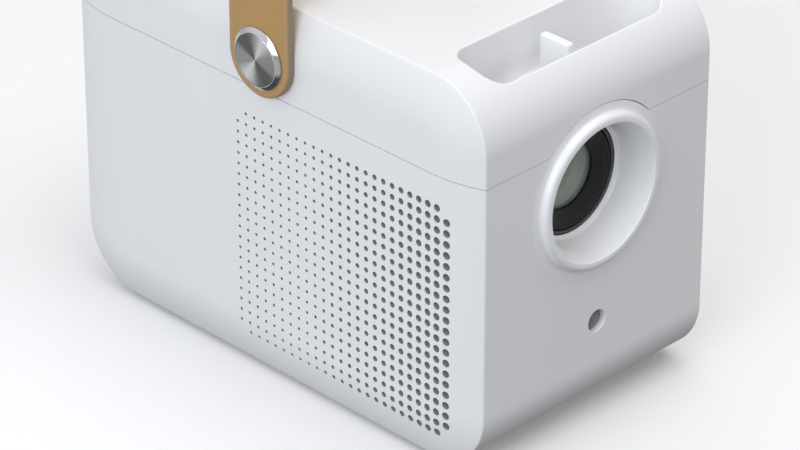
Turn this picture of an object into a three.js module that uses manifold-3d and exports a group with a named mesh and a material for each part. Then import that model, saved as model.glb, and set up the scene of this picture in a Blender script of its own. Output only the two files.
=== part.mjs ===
// Home projector: a pillow-sided white case in two halves, a horn-shaped lens ring, a focus lever in
// a well on top, a leather carrying strap on two studs, and the straight optical engine inside.
// Millimetres. +X points out of the lens, +Y to the projector's left, +Z up. Z = 0 is the table.

import * as THREE from 'three';
import { mergeVertices } from 'three/addons/utils/BufferGeometryUtils.js';
import Module from 'manifold-3d';

const wasm = await Module();
wasm.setup();

// ---------------------------------------------------------------- driving dimensions

const GAP = 0.3;
const WALL = 2.8;

// Facets in a full turn, by the size of the round piece
const FINE = 28;
const MEDIUM = 16;
const COARSE = 10;
const CORNER_FACETS = 4;
const PILLOW_STEPS = 3;

// Case
const BODY_LENGTH = 200.8;
const BODY_WIDTH = 118.6;
const BODY_HEIGHT = 148.2;
const FOOT_PROUD = 1.6;
const CORNER_RADIUS = 24;
const EDGE_INSET = 4.4;
const PILLOW_SPAN = 20;
const SEAM_HEIGHT = 115.1;

// Perforated sides: columns run from the middle of the case towards the lens
const HOLE_PITCH = 4.2;
const HOLE_COLUMNS = 25;
const HOLE_ROWS = 22;
const HOLE_SMALL = 1.2;
const HOLE_LARGE = 2.9;
const HOLE_SMALL_COLUMNS = 8;
const FIRST_COLUMN_X = -14.5;
const TOP_ROW_HEIGHT = 103;

// Lens ring and horn, as (radius, distance in front of the front face)
const LENS_HEIGHT = 93.4;
const RING_RADIUS = 32.4;
const RING_PROUD = 2.8;
const HORN_BOTTOM = -11.9;
const RING_PROFILE = [
  [RING_RADIUS, -WALL],
  [RING_RADIUS, 0],
  [29.9, 0.05],
  [29.1, 0.5],
  [28.7, 1.5],
  [28.2, 2.3],
  [27.2, RING_PROUD],
  [25.5, RING_PROUD],
  [22.4, -9.8],
  [21.9, -11.2],
  [20.8, HORN_BOTTOM],
  [20.8, HORN_BOTTOM - 2],
  [24.6, HORN_BOTTOM - 0.2],
  [27.6, -WALL],
];

// Well on top, with the focus lever in it
const WELL_CENTRE = [80.75, 0.55];
const WELL_LENGTH = 21;
const WELL_WIDTH = 86.1;
const WELL_CORNER = 8;
const WELL_WALL = 2.2;
const WELL_FLOOR_HEIGHT = 118;
const WELL_FLOOR_THICKNESS = 2;
const HUMP_RADIUS = 36;
const LEVER_X = 79.8;
const LEVER_TOP_RADIUS = 50.4;
const LEVER_PLATE = [13, 3.4];
const LEVER_STEM_LENGTH = 7;
const LEVER_SLOT_HALF_WIDTH = 26;

// Lens: sleeve, focus ring and sliding cell
const SLEEVE_FRONT = 88.6;
const SLEEVE_BORE = 19.5;
const SLEEVE_REAR = 52.6;
const FOCUS_RING_X = [66, 85.3];
const FOCUS_RING_RADII = [23, 27.5];
const CELL_RADIUS = 19.2;
const CELL_X = [57, 88.2];
const FOCUS_PIN_X = 76;
const FOCUS_TRAVEL = 4;

// Strap and studs
const STUD_HEIGHT = 129.5;
const STRAP_WIDTH = 29.4;
const STRAP_THICKNESS = 2.9;
const STRAP_LEG_TOP = 152;
const STRAP_RISE = 46;
const STRAP_ROUNDNESS = 2.5;
const STUD_SHANK_RADIUS = 3;
const STUD_BASE_RADIUS = 11.6;
const STUD_FACE_RADIUS = 9.65;
const STUD_THICKNESS = 1.4;
const STUD_SHANK_END = 53.3;
const STUD_NUT_THICKNESS = 2.2;

// Case screws, feet and boards
const SCREW_X = 76;
const SCREW_Y = 46;
const BOSS_RADIUS = 4.5;
const SCREW_SEAT_HEIGHT = 108;
const FOOT_X = 58;
const FOOT_Y = 42;
const FOOT_RADIUS = 7;
const BOARD_THICKNESS = 1.6;
const MAIN_BOARD_HEIGHT = 29;
const POWER_BOARD_HEIGHT = 12;
const STANDOFF_RADIUS = 3;
const MAIN_STANDOFFS = [[-85, 34], [-85, -34], [-15, 34], [-15, -34]];
const POWER_STANDOFFS = [[3, 28], [3, -28], [53, 28], [53, -28]];

// Rear panel and its ports: [y, width, height] of the mouth
const PANEL_HALF_WIDTH = 44.4;
const PANEL_Z = [28.6, 109.4];
const PORT_HEIGHT = 35;
const HDMI = [8, 15, 5.6];
const USB_PORTS = [['usb_port_left', -10], ['usb_port_right', -26]];
const USB_MOUTH = [13.2, 5.8];
const JACKS = [['av_jack', 24], ['audio_jack', 34]];
const JACK_RADIUS = 3;
const INLET = [-37.6, 12];
const INLET_SIZE = [12, 18];

// Optical engine
const ENGINE_FRAME_X = [5, 18.5];
const ENGINE_HALF = [53, 34];
const PLATE_HALF = [50, 31];
const PLATES = [['fresnel_rear', 6, 8], ['lcd_panel', 10.5, 13], ['fresnel_front', 15.5, 17.5]];
const CONDENSER_RADIUS = 23.2;

// Fans
const EXHAUST_FAN = { x: -83.5, z: 80, size: 60, depth: 18, bore: 28, hub: 12, blades: 7 };
const PANEL_FAN = { x: 12, z: 51.7, size: 60, depth: 15, bore: 28, hub: 12, blades: 7 };

// Speakers and infra-red eye
const SPEAKER_X = 36;
const SPEAKER_Z = 46;
const SPEAKER_RADIUS = 24;
const IR_PLACE = [0.85, 41.6];
const IR_RADIUS = 4.15;

// Keypad on top, behind the strap
const PAD_X = -57;
const PAD_RADII = [8.2, 19];
const OK_RADIUS = 7.5;
const SIDE_KEYS = [
  ['back_button', PAD_X, 30, 4.5],
  ['menu_button', PAD_X, -30, 4.5],
  ['power_button', -30, 0, 5],
];
const ARROWS = [['up_button', 0], ['left_button', 90], ['down_button', 180], ['right_button', 270]];
const KEY_PROUD = 0.6;
const KEY_FLANGE = 1.5;
const KEY_REACH = 4.5;
const STATUS_LIGHT = [-30, 12];

// ---------------------------------------------------------------- derived places

const FRONT = BODY_LENGTH / 2;
const SIDE = BODY_WIDTH / 2;
const BOTTOM = FOOT_PROUD;
const TOP = BOTTOM + BODY_HEIGHT;
const INNER_SIDE = SIDE - WALL;
const INNER_TOP = TOP - WALL;
const INNER_BOTTOM = BOTTOM + WALL;
const FAR = 300;

// ---------------------------------------------------------------- finishes

const FINISHES = {
  white: { color: 0xeceef2, roughness: 0.45, metalness: 0 },
  black: { color: 0x1b1b1d, roughness: 0.5, metalness: 0 },
  leather: { color: 0xb0925c, roughness: 0.6, metalness: 0 },
  steel: { color: 0xb9bbbe, roughness: 0.25, metalness: 1 },
  aluminium: { color: 0xa9abad, roughness: 0.45, metalness: 1 },
  copper: { color: 0xb87545, roughness: 0.35, metalness: 1 },
  glass: { color: 0xa8c4b4, roughness: 0.03, metalness: 0, transparent: true, opacity: 0.4 },
  rubber: { color: 0x2a2a2b, roughness: 0.85, metalness: 0 },
  board: { color: 0x1f5a38, roughness: 0.55, metalness: 0 },
  ribbon: { color: 0xc28a3a, roughness: 0.5, metalness: 0 },
};

// ---------------------------------------------------------------- solids

/** A closed geometry as a solid, with its faces turned outwards. */
function solid(geometry) {
  const bare = geometry.clone();
  bare.deleteAttribute('normal');
  bare.deleteAttribute('uv');
  const merged = mergeVertices(bare, 1e-4);
  const index = merged.index.array;
  const triangles = [];
  for (let i = 0; i < index.length; i += 3) {
    const [a, b, c] = index.slice(i, i + 3);
    if (a !== b && b !== c && a !== c) triangles.push(a, b, c);
  }
  const vertProperties = new Float32Array(merged.attributes.position.array);
  const triVerts = new Uint32Array(triangles);
  if (signedVolume(vertProperties, triVerts) < 0) triVerts.reverse();
  return new wasm.Manifold(new wasm.Mesh({ numProp: 3, vertProperties, triVerts }));
}

function signedVolume(positions, triangles) {
  const [a, b, c] = [new THREE.Vector3(), new THREE.Vector3(), new THREE.Vector3()];
  let volume = 0;
  for (let i = 0; i < triangles.length; i += 3) {
    a.fromArray(positions, triangles[i] * 3);
    b.fromArray(positions, triangles[i + 1] * 3);
    c.fromArray(positions, triangles[i + 2] * 3);
    volume += a.dot(b.cross(c)) / 6;
  }
  return volume;
}

function geometryOf(shape) {
  const mesh = shape.getMesh();
  const geometry = new THREE.BufferGeometry();
  geometry.setAttribute('position', new THREE.BufferAttribute(new Float32Array(mesh.vertProperties), 3));
  geometry.setIndex(new THREE.BufferAttribute(new Uint32Array(mesh.triVerts), 1));
  geometry.computeVertexNormals();
  return geometry;
}

function joined(shapes) {
  return shapes.reduce((whole, shape) => whole.add(shape));
}

function box(x, y, z) {
  const geometry = new THREE.BoxGeometry(x[1] - x[0], y[1] - y[0], z[1] - z[0]);
  geometry.translate((x[0] + x[1]) / 2, (y[0] + y[1]) / 2, (z[0] + z[1]) / 2);
  return solid(geometry);
}

/** Moves a geometry made around +Z so that its own Z runs along the named axis. */
function along(geometry, axis) {
  const turn = new THREE.Matrix4();
  if (axis === 'x') turn.set(0, 0, 1, 0, 1, 0, 0, 0, 0, 1, 0, 0, 0, 0, 0, 1);
  if (axis === 'y') turn.set(0, 1, 0, 0, 0, 0, 1, 0, 1, 0, 0, 0, 0, 0, 0, 1);
  return geometry.applyMatrix4(turn);
}

/** A turned solid: profile points are [radius, place along the axis]. */
function turned(profile, axis, centre, steps = MEDIUM) {
  const points = profile.map(([radius, place]) => new THREE.Vector2(radius, place));
  const open = profile[0][0] > 0 || profile.at(-1)[0] > 0;
  if (open) points.push(points[0].clone());
  const geometry = new THREE.LatheGeometry(points, steps);
  geometry.rotateX(Math.PI / 2);
  along(geometry, axis);
  geometry.translate(...centre);
  return solid(geometry);
}

function rod(axis, centre, radius, [from, to], steps = COARSE) {
  return turned([[0, from], [radius, from], [radius, to], [0, to]], axis, centre, steps);
}

/** A prism: a flat outline pushed along an axis. x takes (y, z) outlines, z takes (x, y) outlines. */
function prism(shape, axis, [from, to], arcSteps = 6) {
  const options = { depth: to - from, bevelEnabled: false, curveSegments: arcSteps };
  const geometry = new THREE.ExtrudeGeometry(shape, options);
  geometry.translate(0, 0, from);
  return solid(along(geometry, axis));
}

function roundedRectangle(halfX, halfY, radius, centre = [0, 0]) {
  const [x, y] = [halfX - radius, halfY - radius];
  const shape = new THREE.Shape();
  const corners = [[x, y, 0], [-x, y, 1], [-x, -y, 2], [x, -y, 3]];
  for (const [cornerX, cornerY, quarter] of corners) {
    const start = quarter * Math.PI / 2;
    shape.absarc(centre[0] + cornerX, centre[1] + cornerY, radius, start, start + Math.PI / 2);
  }
  return shape;
}

/** A solid through rings of equal point counts, closed by flat fans at both ends. */
function loft(rings) {
  const count = rings[0].length;
  const positions = rings.flat().flatMap((point) => point.toArray());
  const index = [];
  for (let ring = 0; ring + 1 < rings.length; ring += 1) {
    for (let i = 0; i < count; i += 1) {
      const next = (i + 1) % count;
      const [a, b] = [ring * count + i, ring * count + next];
      index.push(a, b, b + count, a, b + count, a + count);
    }
  }
  const last = (rings.length - 1) * count;
  for (let i = 1; i + 1 < count; i += 1) {
    index.push(0, i + 1, i);
    index.push(last, last + i, last + i + 1);
  }
  const geometry = new THREE.BufferGeometry();
  geometry.setAttribute('position', new THREE.Float32BufferAttribute(positions, 3));
  geometry.setIndex(index);
  return solid(geometry);
}

/** A square funnel along X between two rectangles around the lens axis. */
function funnel([xStart, yStart, zStart], [xEnd, yEnd, zEnd]) {
  const ring = (x, halfY, halfZ) => [[1, 1], [-1, 1], [-1, -1], [1, -1]].map(
    ([signY, signZ]) => new THREE.Vector3(x, signY * halfY, LENS_HEIGHT + signZ * halfZ),
  );
  return loft([ring(xStart, yStart, zStart), ring(xEnd, yEnd, zEnd)]);
}

// ---------------------------------------------------------------- case

/** The case outline seen from the side, pulled in by an inset, at one place across the case. */
function caseRing(inset, y) {
  const radius = CORNER_RADIUS - inset;
  const middle = BOTTOM + BODY_HEIGHT / 2;
  const outline = roundedRectangle(FRONT - inset, BODY_HEIGHT / 2 - inset, radius, [0, middle]);
  return outline.getPoints(CORNER_FACETS).map((point) => new THREE.Vector3(point.x, y, point.y));
}

/** The whole case as one solid: a rounded band with sides that swell out from a crisp edge. */
function pillow(inset) {
  const half = [];
  for (let step = 0; step <= PILLOW_STEPS; step += 1) {
    const pulled = PILLOW_SPAN * step / PILLOW_STEPS;
    const drop = EDGE_INSET * (1 - pulled / PILLOW_SPAN) ** 2;
    half.push({ pulled, y: SIDE - inset - drop });
  }
  const right = half.toReversed().map(({ pulled, y }) => caseRing(inset + pulled, -y));
  const left = half.map(({ pulled, y }) => caseRing(inset + pulled, y));
  return loft([...right, ...left]);
}

function holeDiameter(column) {
  const run = Math.max(0, column - HOLE_SMALL_COLUMNS) / (HOLE_COLUMNS - 1 - HOLE_SMALL_COLUMNS);
  return HOLE_SMALL + (HOLE_LARGE - HOLE_SMALL) * run;
}

/** Sound and air slots through both flat sides: one stands for each column of round holes. */
function sideSlots() {
  const slots = [];
  const bottomRow = TOP_ROW_HEIGHT - (HOLE_ROWS - 1) * HOLE_PITCH;
  const low = Math.max(bottomRow, BOTTOM + PILLOW_SPAN + 1);
  for (let column = 0; column < HOLE_COLUMNS; column += 1) {
    const x = FIRST_COLUMN_X + column * HOLE_PITCH;
    const half = holeDiameter(column) / 2;
    const high = TOP_ROW_HEIGHT + half - (column === 0 ? HOLE_PITCH : 0);
    const onFlat = x + half < FRONT - PILLOW_SPAN;
    if (onFlat) slots.push(box([x - half, x + half], [-FAR, FAR], [low, high]));
  }
  return joined(slots);
}

function fourCorners(x, y) {
  return [[x, y], [x, -y], [-x, -y], [-x, y]];
}

function ringAndHorn() {
  return turned(RING_PROFILE, 'x', [FRONT, 0, LENS_HEIGHT], FINE);
}

function portCutouts() {
  const depth = [-FAR, -FRONT + 12];
  const [hdmiY, hdmiWidth, hdmiHeight] = HDMI;
  const mouth = (y, width, height) => box(
    depth,
    [y - width / 2 - GAP, y + width / 2 + GAP],
    [PORT_HEIGHT - height / 2 - GAP, PORT_HEIGHT + height / 2 + GAP],
  );
  const cuts = [mouth(hdmiY, hdmiWidth, hdmiHeight)];
  for (const [, y] of USB_PORTS) cuts.push(mouth(y, ...USB_MOUTH));
  for (const [, y] of JACKS) cuts.push(rod('x', [0, y, PORT_HEIGHT], JACK_RADIUS + GAP, depth));
  return joined(cuts);
}

function inletCutout() {
  const [y, offset] = INLET;
  const [width, height] = INLET_SIZE;
  const low = PORT_HEIGHT - 4 + offset;
  return box(
    [-FAR, -FRONT + 12],
    [y - width / 2 - GAP, y + width / 2 + GAP],
    [low - GAP, low + height + GAP],
  );
}

/** The round opening in the front that the lens ring fills, with its gap. */
function ringOpening() {
  return rod('x', [0, 0, LENS_HEIGHT], RING_RADIUS + GAP, [FRONT - 4.5, FRONT + 9], FINE);
}

function lowerHousing() {
  const below = box([-FAR, FAR], [-FAR, FAR], [-FAR, SEAM_HEIGHT - GAP / 2]);
  let housing = pillow(0).subtract(pillow(WALL)).intersect(below);
  housing = housing.subtract(ringOpening());
  housing = housing.subtract(rod('x', [0, ...IR_PLACE], IR_RADIUS, [FRONT - 6, FRONT + 6], MEDIUM));
  housing = housing.subtract(sideSlots());

  const panelHole = box(
    [-FAR, -FRONT + WALL + 0.2],
    [-PANEL_HALF_WIDTH - GAP, PANEL_HALF_WIDTH + GAP],
    [PANEL_Z[0] - GAP, PANEL_Z[1] + GAP],
  );
  housing = housing.subtract(panelHole);

  const floor = INNER_BOTTOM - 0.5;
  for (const [x, y] of fourCorners(SCREW_X, SCREW_Y)) {
    const boss = rod('z', [x, y, 0], BOSS_RADIUS, [floor, SEAM_HEIGHT - 1.1]);
    const driverWell = rod('z', [x, y, 0], 3.3, [-1, SCREW_SEAT_HEIGHT]);
    const shankHole = rod('z', [x, y, 0], 1.8, [SCREW_SEAT_HEIGHT - 1, SEAM_HEIGHT]);
    housing = housing.add(boss).subtract(driverWell).subtract(shankHole);
  }
  for (const [x, y] of MAIN_STANDOFFS) {
    housing = housing.add(rod('z', [x, y, 0], STANDOFF_RADIUS, [floor, MAIN_BOARD_HEIGHT - GAP], 8));
  }
  for (const [x, y] of POWER_STANDOFFS) {
    housing = housing.add(rod('z', [x, y, 0], STANDOFF_RADIUS, [floor, POWER_BOARD_HEIGHT - GAP], 8));
  }
  for (const side of [-1, 1]) {
    const rib = box([-2, 10], [side * 48 - 2, side * 48 + 2], [floor, LENS_HEIGHT - ENGINE_HALF[1] - GAP]);
    housing = housing.add(rib);
  }
  for (const [x, y] of fourCorners(FOOT_X, FOOT_Y)) {
    housing = housing.subtract(rod('z', [x, y, 0], FOOT_RADIUS + GAP, [0, BOTTOM + 1.4], MEDIUM));
  }
  return housing;
}

/** Places of the case screws' holes above the seam. */
function screwHoles() {
  const reach = [SEAM_HEIGHT - 2, SEAM_HEIGHT + 11];
  return joined(fourCorners(SCREW_X, SCREW_Y).map(([x, y]) => rod('z', [x, y, 0], 1.6, reach, 8)));
}

/** The tub of the well, flush with the top, and the opening in the cover that it stands in. */
function focusWell() {
  const outline = (grow) => roundedRectangle(
    WELL_LENGTH / 2 + grow,
    WELL_WIDTH / 2 + grow,
    WELL_CORNER + grow,
    WELL_CENTRE,
  );
  const span = [WELL_CENTRE[0] - WELL_LENGTH / 2 - 6, WELL_CENTRE[0] + WELL_LENGTH / 2 + 6];
  const hump = rod('x', [0, 0, LENS_HEIGHT], HUMP_RADIUS, span, FINE);
  const underHump = rod('x', [0, 0, LENS_HEIGHT], HUMP_RADIUS - WELL_FLOOR_THICKNESS, span, FINE);
  const tub = prism(outline(WELL_WALL), 'z', [WELL_FLOOR_HEIGHT - WELL_FLOOR_THICKNESS, TOP + 5]);
  const hollow = prism(outline(0), 'z', [WELL_FLOOR_HEIGHT, TOP + 5]).subtract(hump);
  const slotHalf = LEVER_STEM_LENGTH / 2 + 0.6;
  const slot = box(
    [LEVER_X - slotHalf, LEVER_X + slotHalf],
    [-LEVER_SLOT_HALF_WIDTH, LEVER_SLOT_HALF_WIDTH],
    [LENS_HEIGHT + 15, LENS_HEIGHT + HUMP_RADIUS + 0.5],
  );
  const cuts = joined([hollow, underHump, slot, screwHoles()]);
  const opening = prism(outline(WELL_WALL + GAP), 'z', [WELL_FLOOR_HEIGHT - 12, TOP + 5]);
  return { tub: tub.intersect(pillow(0)).subtract(cuts), opening };
}

function topCover() {
  const above = box([-FAR, FAR], [-FAR, FAR], [SEAM_HEIGHT + GAP / 2, FAR]);
  let cover = pillow(0).subtract(pillow(WALL)).intersect(above);
  for (const [x, y] of fourCorners(SCREW_X, SCREW_Y)) {
    cover = cover.add(rod('z', [x, y, 0], 4, [SEAM_HEIGHT - 0.8, INNER_TOP + 0.5]));
  }
  cover = cover.subtract(joined([screwHoles(), focusWell().opening, ringOpening()]));
  for (const [x, y] of [[-80, 20], [-80, -20], [-36, 30], [-36, -30]]) {
    cover = cover.add(rod('z', [x, y, 0], 1.8, [TOP - 6.9, INNER_TOP + 0.5], 8));
  }
  cover = cover.subtract(rod('y', [0, 0, STUD_HEIGHT], STUD_SHANK_RADIUS + GAP, [-FAR, FAR]));

  cover = cover.subtract(rod('z', [PAD_X, 0, 0], PAD_RADII[1] + GAP, [INNER_TOP - 1, FAR], FINE));
  for (const [, x, y, radius] of SIDE_KEYS) {
    cover = cover.subtract(rod('z', [x, y, 0], radius + GAP, [INNER_TOP - 1, FAR], MEDIUM));
  }
  return cover.subtract(rod('z', [...STATUS_LIGHT, 0], 1.7, [INNER_TOP - 1, FAR]));
}

function rearPanel() {
  const outer = -FRONT + 0.2;
  const plate = box([outer, -FRONT + WALL], [-PANEL_HALF_WIDTH, PANEL_HALF_WIDTH], PANEL_Z);
  const inside = -FRONT + WALL;
  const flange = box([inside + GAP, inside + 2.3], [-PANEL_HALF_WIDTH - 2.6, PANEL_HALF_WIDTH + 2.6], PANEL_Z);
  const neck = box([inside - 0.1, inside + 0.5], [-PANEL_HALF_WIDTH, PANEL_HALF_WIDTH], PANEL_Z);
  let panel = joined([plate, neck, flange]);
  const slots = [];
  for (let row = 0; row < 9; row += 1) {
    const z = EXHAUST_FAN.z - 26 + row * 6.5;
    slots.push(box([-FAR, -FRONT + 8], [-31, 31], [z - 1.5, z + 1.5]));
  }
  panel = panel.subtract(joined(slots));
  return panel.subtract(portCutouts()).subtract(inletCutout());
}

function foot() {
  const profile = [[0, 0], [6.2, 0], [FOOT_RADIUS, 0.8], [FOOT_RADIUS, 2.7], [0, 2.7]];
  return turned(profile, 'z', [0, 0, 0], MEDIUM);
}

function caseScrew() {
  const seat = SCREW_SEAT_HEIGHT - GAP;
  const profile = [[0, seat - 2.2], [2.4, seat - 2.2], [2.9, seat - 1.4], [2.9, seat], [1.4, seat],
    [1.4, seat + 15], [0, seat + 16.4]];
  return turned(profile, 'z', [0, 0, 0], COARSE);
}

// ---------------------------------------------------------------- strap

/** Half of the strap's middle line from the stud up to the crown, as [across, height] pairs. */
function strapLine() {
  const halfSpan = SIDE + GAP + STRAP_THICKNESS / 2;
  const points = [[halfSpan, STUD_HEIGHT - STRAP_WIDTH / 2]];
  const steps = 12;
  for (let step = 0; step <= steps; step += 1) {
    const angle = Math.PI / 2 * step / steps;
    const across = halfSpan * Math.cos(angle) ** (2 / STRAP_ROUNDNESS);
    points.push([across, STRAP_LEG_TOP + STRAP_RISE * Math.sin(angle) ** (2 / STRAP_ROUNDNESS)]);
  }
  return points;
}

/** Leather band: a ribbon over the case, with half-round ends and a hole at each stud. */
function strap() {
  const half = strapLine();
  const line = [...half, ...half.slice(0, -1).reverse().map(([y, z]) => [-y, z])];
  const rings = line.map(([y, z], i) => {
    const before = line[Math.max(0, i - 1)];
    const after = line[Math.min(line.length - 1, i + 1)];
    const outward = new THREE.Vector2(after[1] - before[1], before[0] - after[0]).normalize();
    return [[1, 1], [-1, 1], [-1, -1], [1, -1]].map(([signX, signOut]) => new THREE.Vector3(
      signX * STRAP_WIDTH / 2,
      y + signOut * outward.x * STRAP_THICKNESS / 2,
      z + signOut * outward.y * STRAP_THICKNESS / 2,
    ));
  });
  let band = loft(rings);
  const end = rod('y', [0, 0, STUD_HEIGHT], STRAP_WIDTH / 2, [-FAR, FAR], FINE);
  const endBlock = box([-FAR, FAR], [-FAR, FAR], [0, STUD_HEIGHT]);
  band = band.subtract(endBlock.subtract(end));
  return band.subtract(rod('y', [0, 0, STUD_HEIGHT], STUD_SHANK_RADIUS + GAP, [-FAR, FAR]));
}

/** Stud through the strap, head outwards; side is +1 on the left of the case, -1 on the right. */
function stud(side) {
  const head = SIDE + GAP + STRAP_THICKNESS + GAP;
  const profile = [
    [0, STUD_SHANK_END],
    [STUD_SHANK_RADIUS, STUD_SHANK_END],
    [STUD_SHANK_RADIUS, head],
    [STUD_BASE_RADIUS, head],
    [STUD_FACE_RADIUS, head + STUD_THICKNESS],
    [0, head + STUD_THICKNESS],
  ];
  return turned(profile.map(([radius, y]) => [radius, side * y]), 'y', [0, 0, STUD_HEIGHT], FINE);
}

function studNut(side) {
  const [from, to] = [side * STUD_SHANK_END, side * (STUD_SHANK_END + STUD_NUT_THICKNESS)];
  const hexagon = rod('y', [0, 0, STUD_HEIGHT], 6, [from, to], 6);
  return hexagon.subtract(rod('y', [0, 0, STUD_HEIGHT], STUD_SHANK_RADIUS + 0.2, [-FAR, FAR]));
}

// ---------------------------------------------------------------- lens

function lensSleeve() {
  const profile = [[SLEEVE_BORE, SLEEVE_REAR], [29, SLEEVE_REAR], [29, SLEEVE_REAR + 2.7],
    [22.6, SLEEVE_REAR + 2.7], [22.6, 85.9], [20.4, 85.9], [20.4, SLEEVE_FRONT], [SLEEVE_BORE, SLEEVE_FRONT]];
  const reach = FOCUS_TRAVEL + 2.2;
  const slot = box([FOCUS_PIN_X - reach, FOCUS_PIN_X + reach], [-2.2, 2.2], [LENS_HEIGHT - 26, LENS_HEIGHT]);
  return turned(profile, 'x', [0, 0, LENS_HEIGHT], FINE).subtract(slot);
}

function focusRing() {
  const [from, to] = FOCUS_RING_X;
  const [inner, outer] = FOCUS_RING_RADII;
  const reach = FOCUS_TRAVEL + 2.4;
  const profile = [[inner, from], [outer, from], [outer, to], [inner, to], [inner, FOCUS_PIN_X + reach],
    [inner + 2.6, FOCUS_PIN_X + reach], [inner + 2.6, FOCUS_PIN_X - reach], [inner, FOCUS_PIN_X - reach]];
  const [plateLength, plateThickness] = LEVER_PLATE;
  const half = plateThickness / 2;
  const plateFoot = HUMP_RADIUS + 1.6;
  const stemX = [LEVER_X - LEVER_STEM_LENGTH / 2, LEVER_X + LEVER_STEM_LENGTH / 2];
  const stem = box([stemX[0], Math.min(stemX[1], to)], [-half, half],
    [LENS_HEIGHT + outer - 1, LENS_HEIGHT + plateFoot + 1]);
  const section = new THREE.Shape([
    new THREE.Vector2(-half, LENS_HEIGHT + plateFoot),
    new THREE.Vector2(half, LENS_HEIGHT + plateFoot),
    new THREE.Vector2(half, LENS_HEIGHT + LEVER_TOP_RADIUS - 0.8),
    new THREE.Vector2(half - 0.8, LENS_HEIGHT + LEVER_TOP_RADIUS),
    new THREE.Vector2(-half + 0.8, LENS_HEIGHT + LEVER_TOP_RADIUS),
    new THREE.Vector2(-half, LENS_HEIGHT + LEVER_TOP_RADIUS - 0.8),
  ]);
  const plate = prism(section, 'x', [LEVER_X - plateLength / 2, LEVER_X + plateLength / 2]);
  return joined([turned(profile, 'x', [0, 0, LENS_HEIGHT], FINE), stem, plate]);
}

function lensCell() {
  const [rear, front] = CELL_X;
  const profile = [[12.6, rear], [CELL_RADIUS, rear], [CELL_RADIUS, front], [17.6, front], [17.6, 84.3],
    [14.3, 84.3], [14.3, 75.7], [12.6, 75.7]];
  const pin = rod('z', [FOCUS_PIN_X, 0, LENS_HEIGHT], 1.8, [-24.9, -16.4]);
  return turned(profile, 'x', [0, 0, LENS_HEIGHT], FINE).add(pin);
}

function lensRetainer() {
  const profile = [[12.6, 84.6], [17.3, 84.6], [17.3, 87.5], [16.4, 87.5], [12.6, 85.6]];
  return turned(profile, 'x', [0, 0, LENS_HEIGHT]);
}

function frontLens() {
  const profile = [[0, 77], [14, 77], [14, 83.3], [12, 84.2], [9, 85.1], [5, 85.9], [0, 86.2]];
  return turned(profile, 'x', [0, 0, LENS_HEIGHT]);
}

function rearLens() {
  const profile = [[0, 58], [5, 58.3], [9, 59], [12.2, 60.2], [12.2, 65], [0, 65]];
  return turned(profile, 'x', [0, 0, LENS_HEIGHT]);
}

// ---------------------------------------------------------------- optical engine

function lightBoxFront() {
  const start = ENGINE_FRAME_X[1] + GAP;
  const [halfY, halfZ] = ENGINE_HALF;
  const outer = funnel([start, halfY, halfZ], [50.2, 30, 30]);
  const inner = funnel([start - 0.1, halfY - 2, halfZ - 2], [50.2, 28, 28]);
  const mouth = box([50.1, 52.3], [-30, 30], [LENS_HEIGHT - 30, LENS_HEIGHT + 30]);
  return outer.subtract(inner).add(mouth).subtract(rod('x', [0, 0, LENS_HEIGHT], 19, [50, 53]));
}

function lightBoxRear() {
  const end = ENGINE_FRAME_X[0] - GAP;
  const [halfY, halfZ] = ENGINE_HALF;
  const outer = funnel([-36, 27, 27], [end, halfY, halfZ]);
  const inner = funnel([-34, 25, 25], [end + 0.1, halfY - 2, halfZ - 2]);
  const collar = box([-48, -35.9], [-27, 27], [LENS_HEIGHT - 27, LENS_HEIGHT + 27]);
  const bore = rod('x', [0, 0, LENS_HEIGHT], CONDENSER_RADIUS + GAP, [-49, -33.9], MEDIUM);
  return outer.subtract(inner).add(collar).subtract(bore);
}

function panelFrame() {
  const [halfY, halfZ] = ENGINE_HALF;
  const z = [LENS_HEIGHT - halfZ, LENS_HEIGHT + halfZ];
  const inner = [PLATE_HALF[0] + GAP, PLATE_HALF[1] + GAP];
  const hole = box([0, 30], [-inner[0], inner[0]], [LENS_HEIGHT - inner[1], LENS_HEIGHT + inner[1]]);
  const airGaps = [[8.3, 10.2], [13.3, 15.2]].map((x) => box(x, [-25, 25], [0, FAR]));
  const ribbonSlot = box([10.5, 13], [33, 47], [0, LENS_HEIGHT]);
  return box(ENGINE_FRAME_X, [-halfY, halfY], z).subtract(joined([hole, ...airGaps, ribbonSlot]));
}

function enginePlate(from, to) {
  const [halfY, halfZ] = PLATE_HALF;
  return box([from, to], [-halfY, halfY], [LENS_HEIGHT - halfZ, LENS_HEIGHT + halfZ]);
}

function ribbon() {
  const low = MAIN_BOARD_HEIGHT + BOARD_THICKNESS + GAP;
  const high = LENS_HEIGHT - PLATE_HALF[1] - GAP;
  const middle = 55;
  const thick = 0.6;
  const outline = [[11.5, high], [11.5, middle], [-20, middle], [-20, low], [-20 + thick, low],
    [-20 + thick, middle - thick], [11.5 + thick, middle - thick], [11.5 + thick, high]];
  const shape = new THREE.Shape(outline.map(([x, z]) => new THREE.Vector2(z, x)));
  return prism(shape, 'y', [34, 46]);
}

function condenserLens() {
  const profile = [[0, -46], [CONDENSER_RADIUS, -46], [CONDENSER_RADIUS, -43], [20, -40], [15, -38],
    [8, -36.6], [0, -36.2]];
  return turned(profile, 'x', [0, 0, LENS_HEIGHT], MEDIUM);
}

function ledModule() {
  const plate = box([-52.4, -49.6], [-20, 20], [LENS_HEIGHT - 20, LENS_HEIGHT + 20]);
  return plate.add(rod('x', [0, 0, LENS_HEIGHT], 11, [-50, -48.4]));
}

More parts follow.
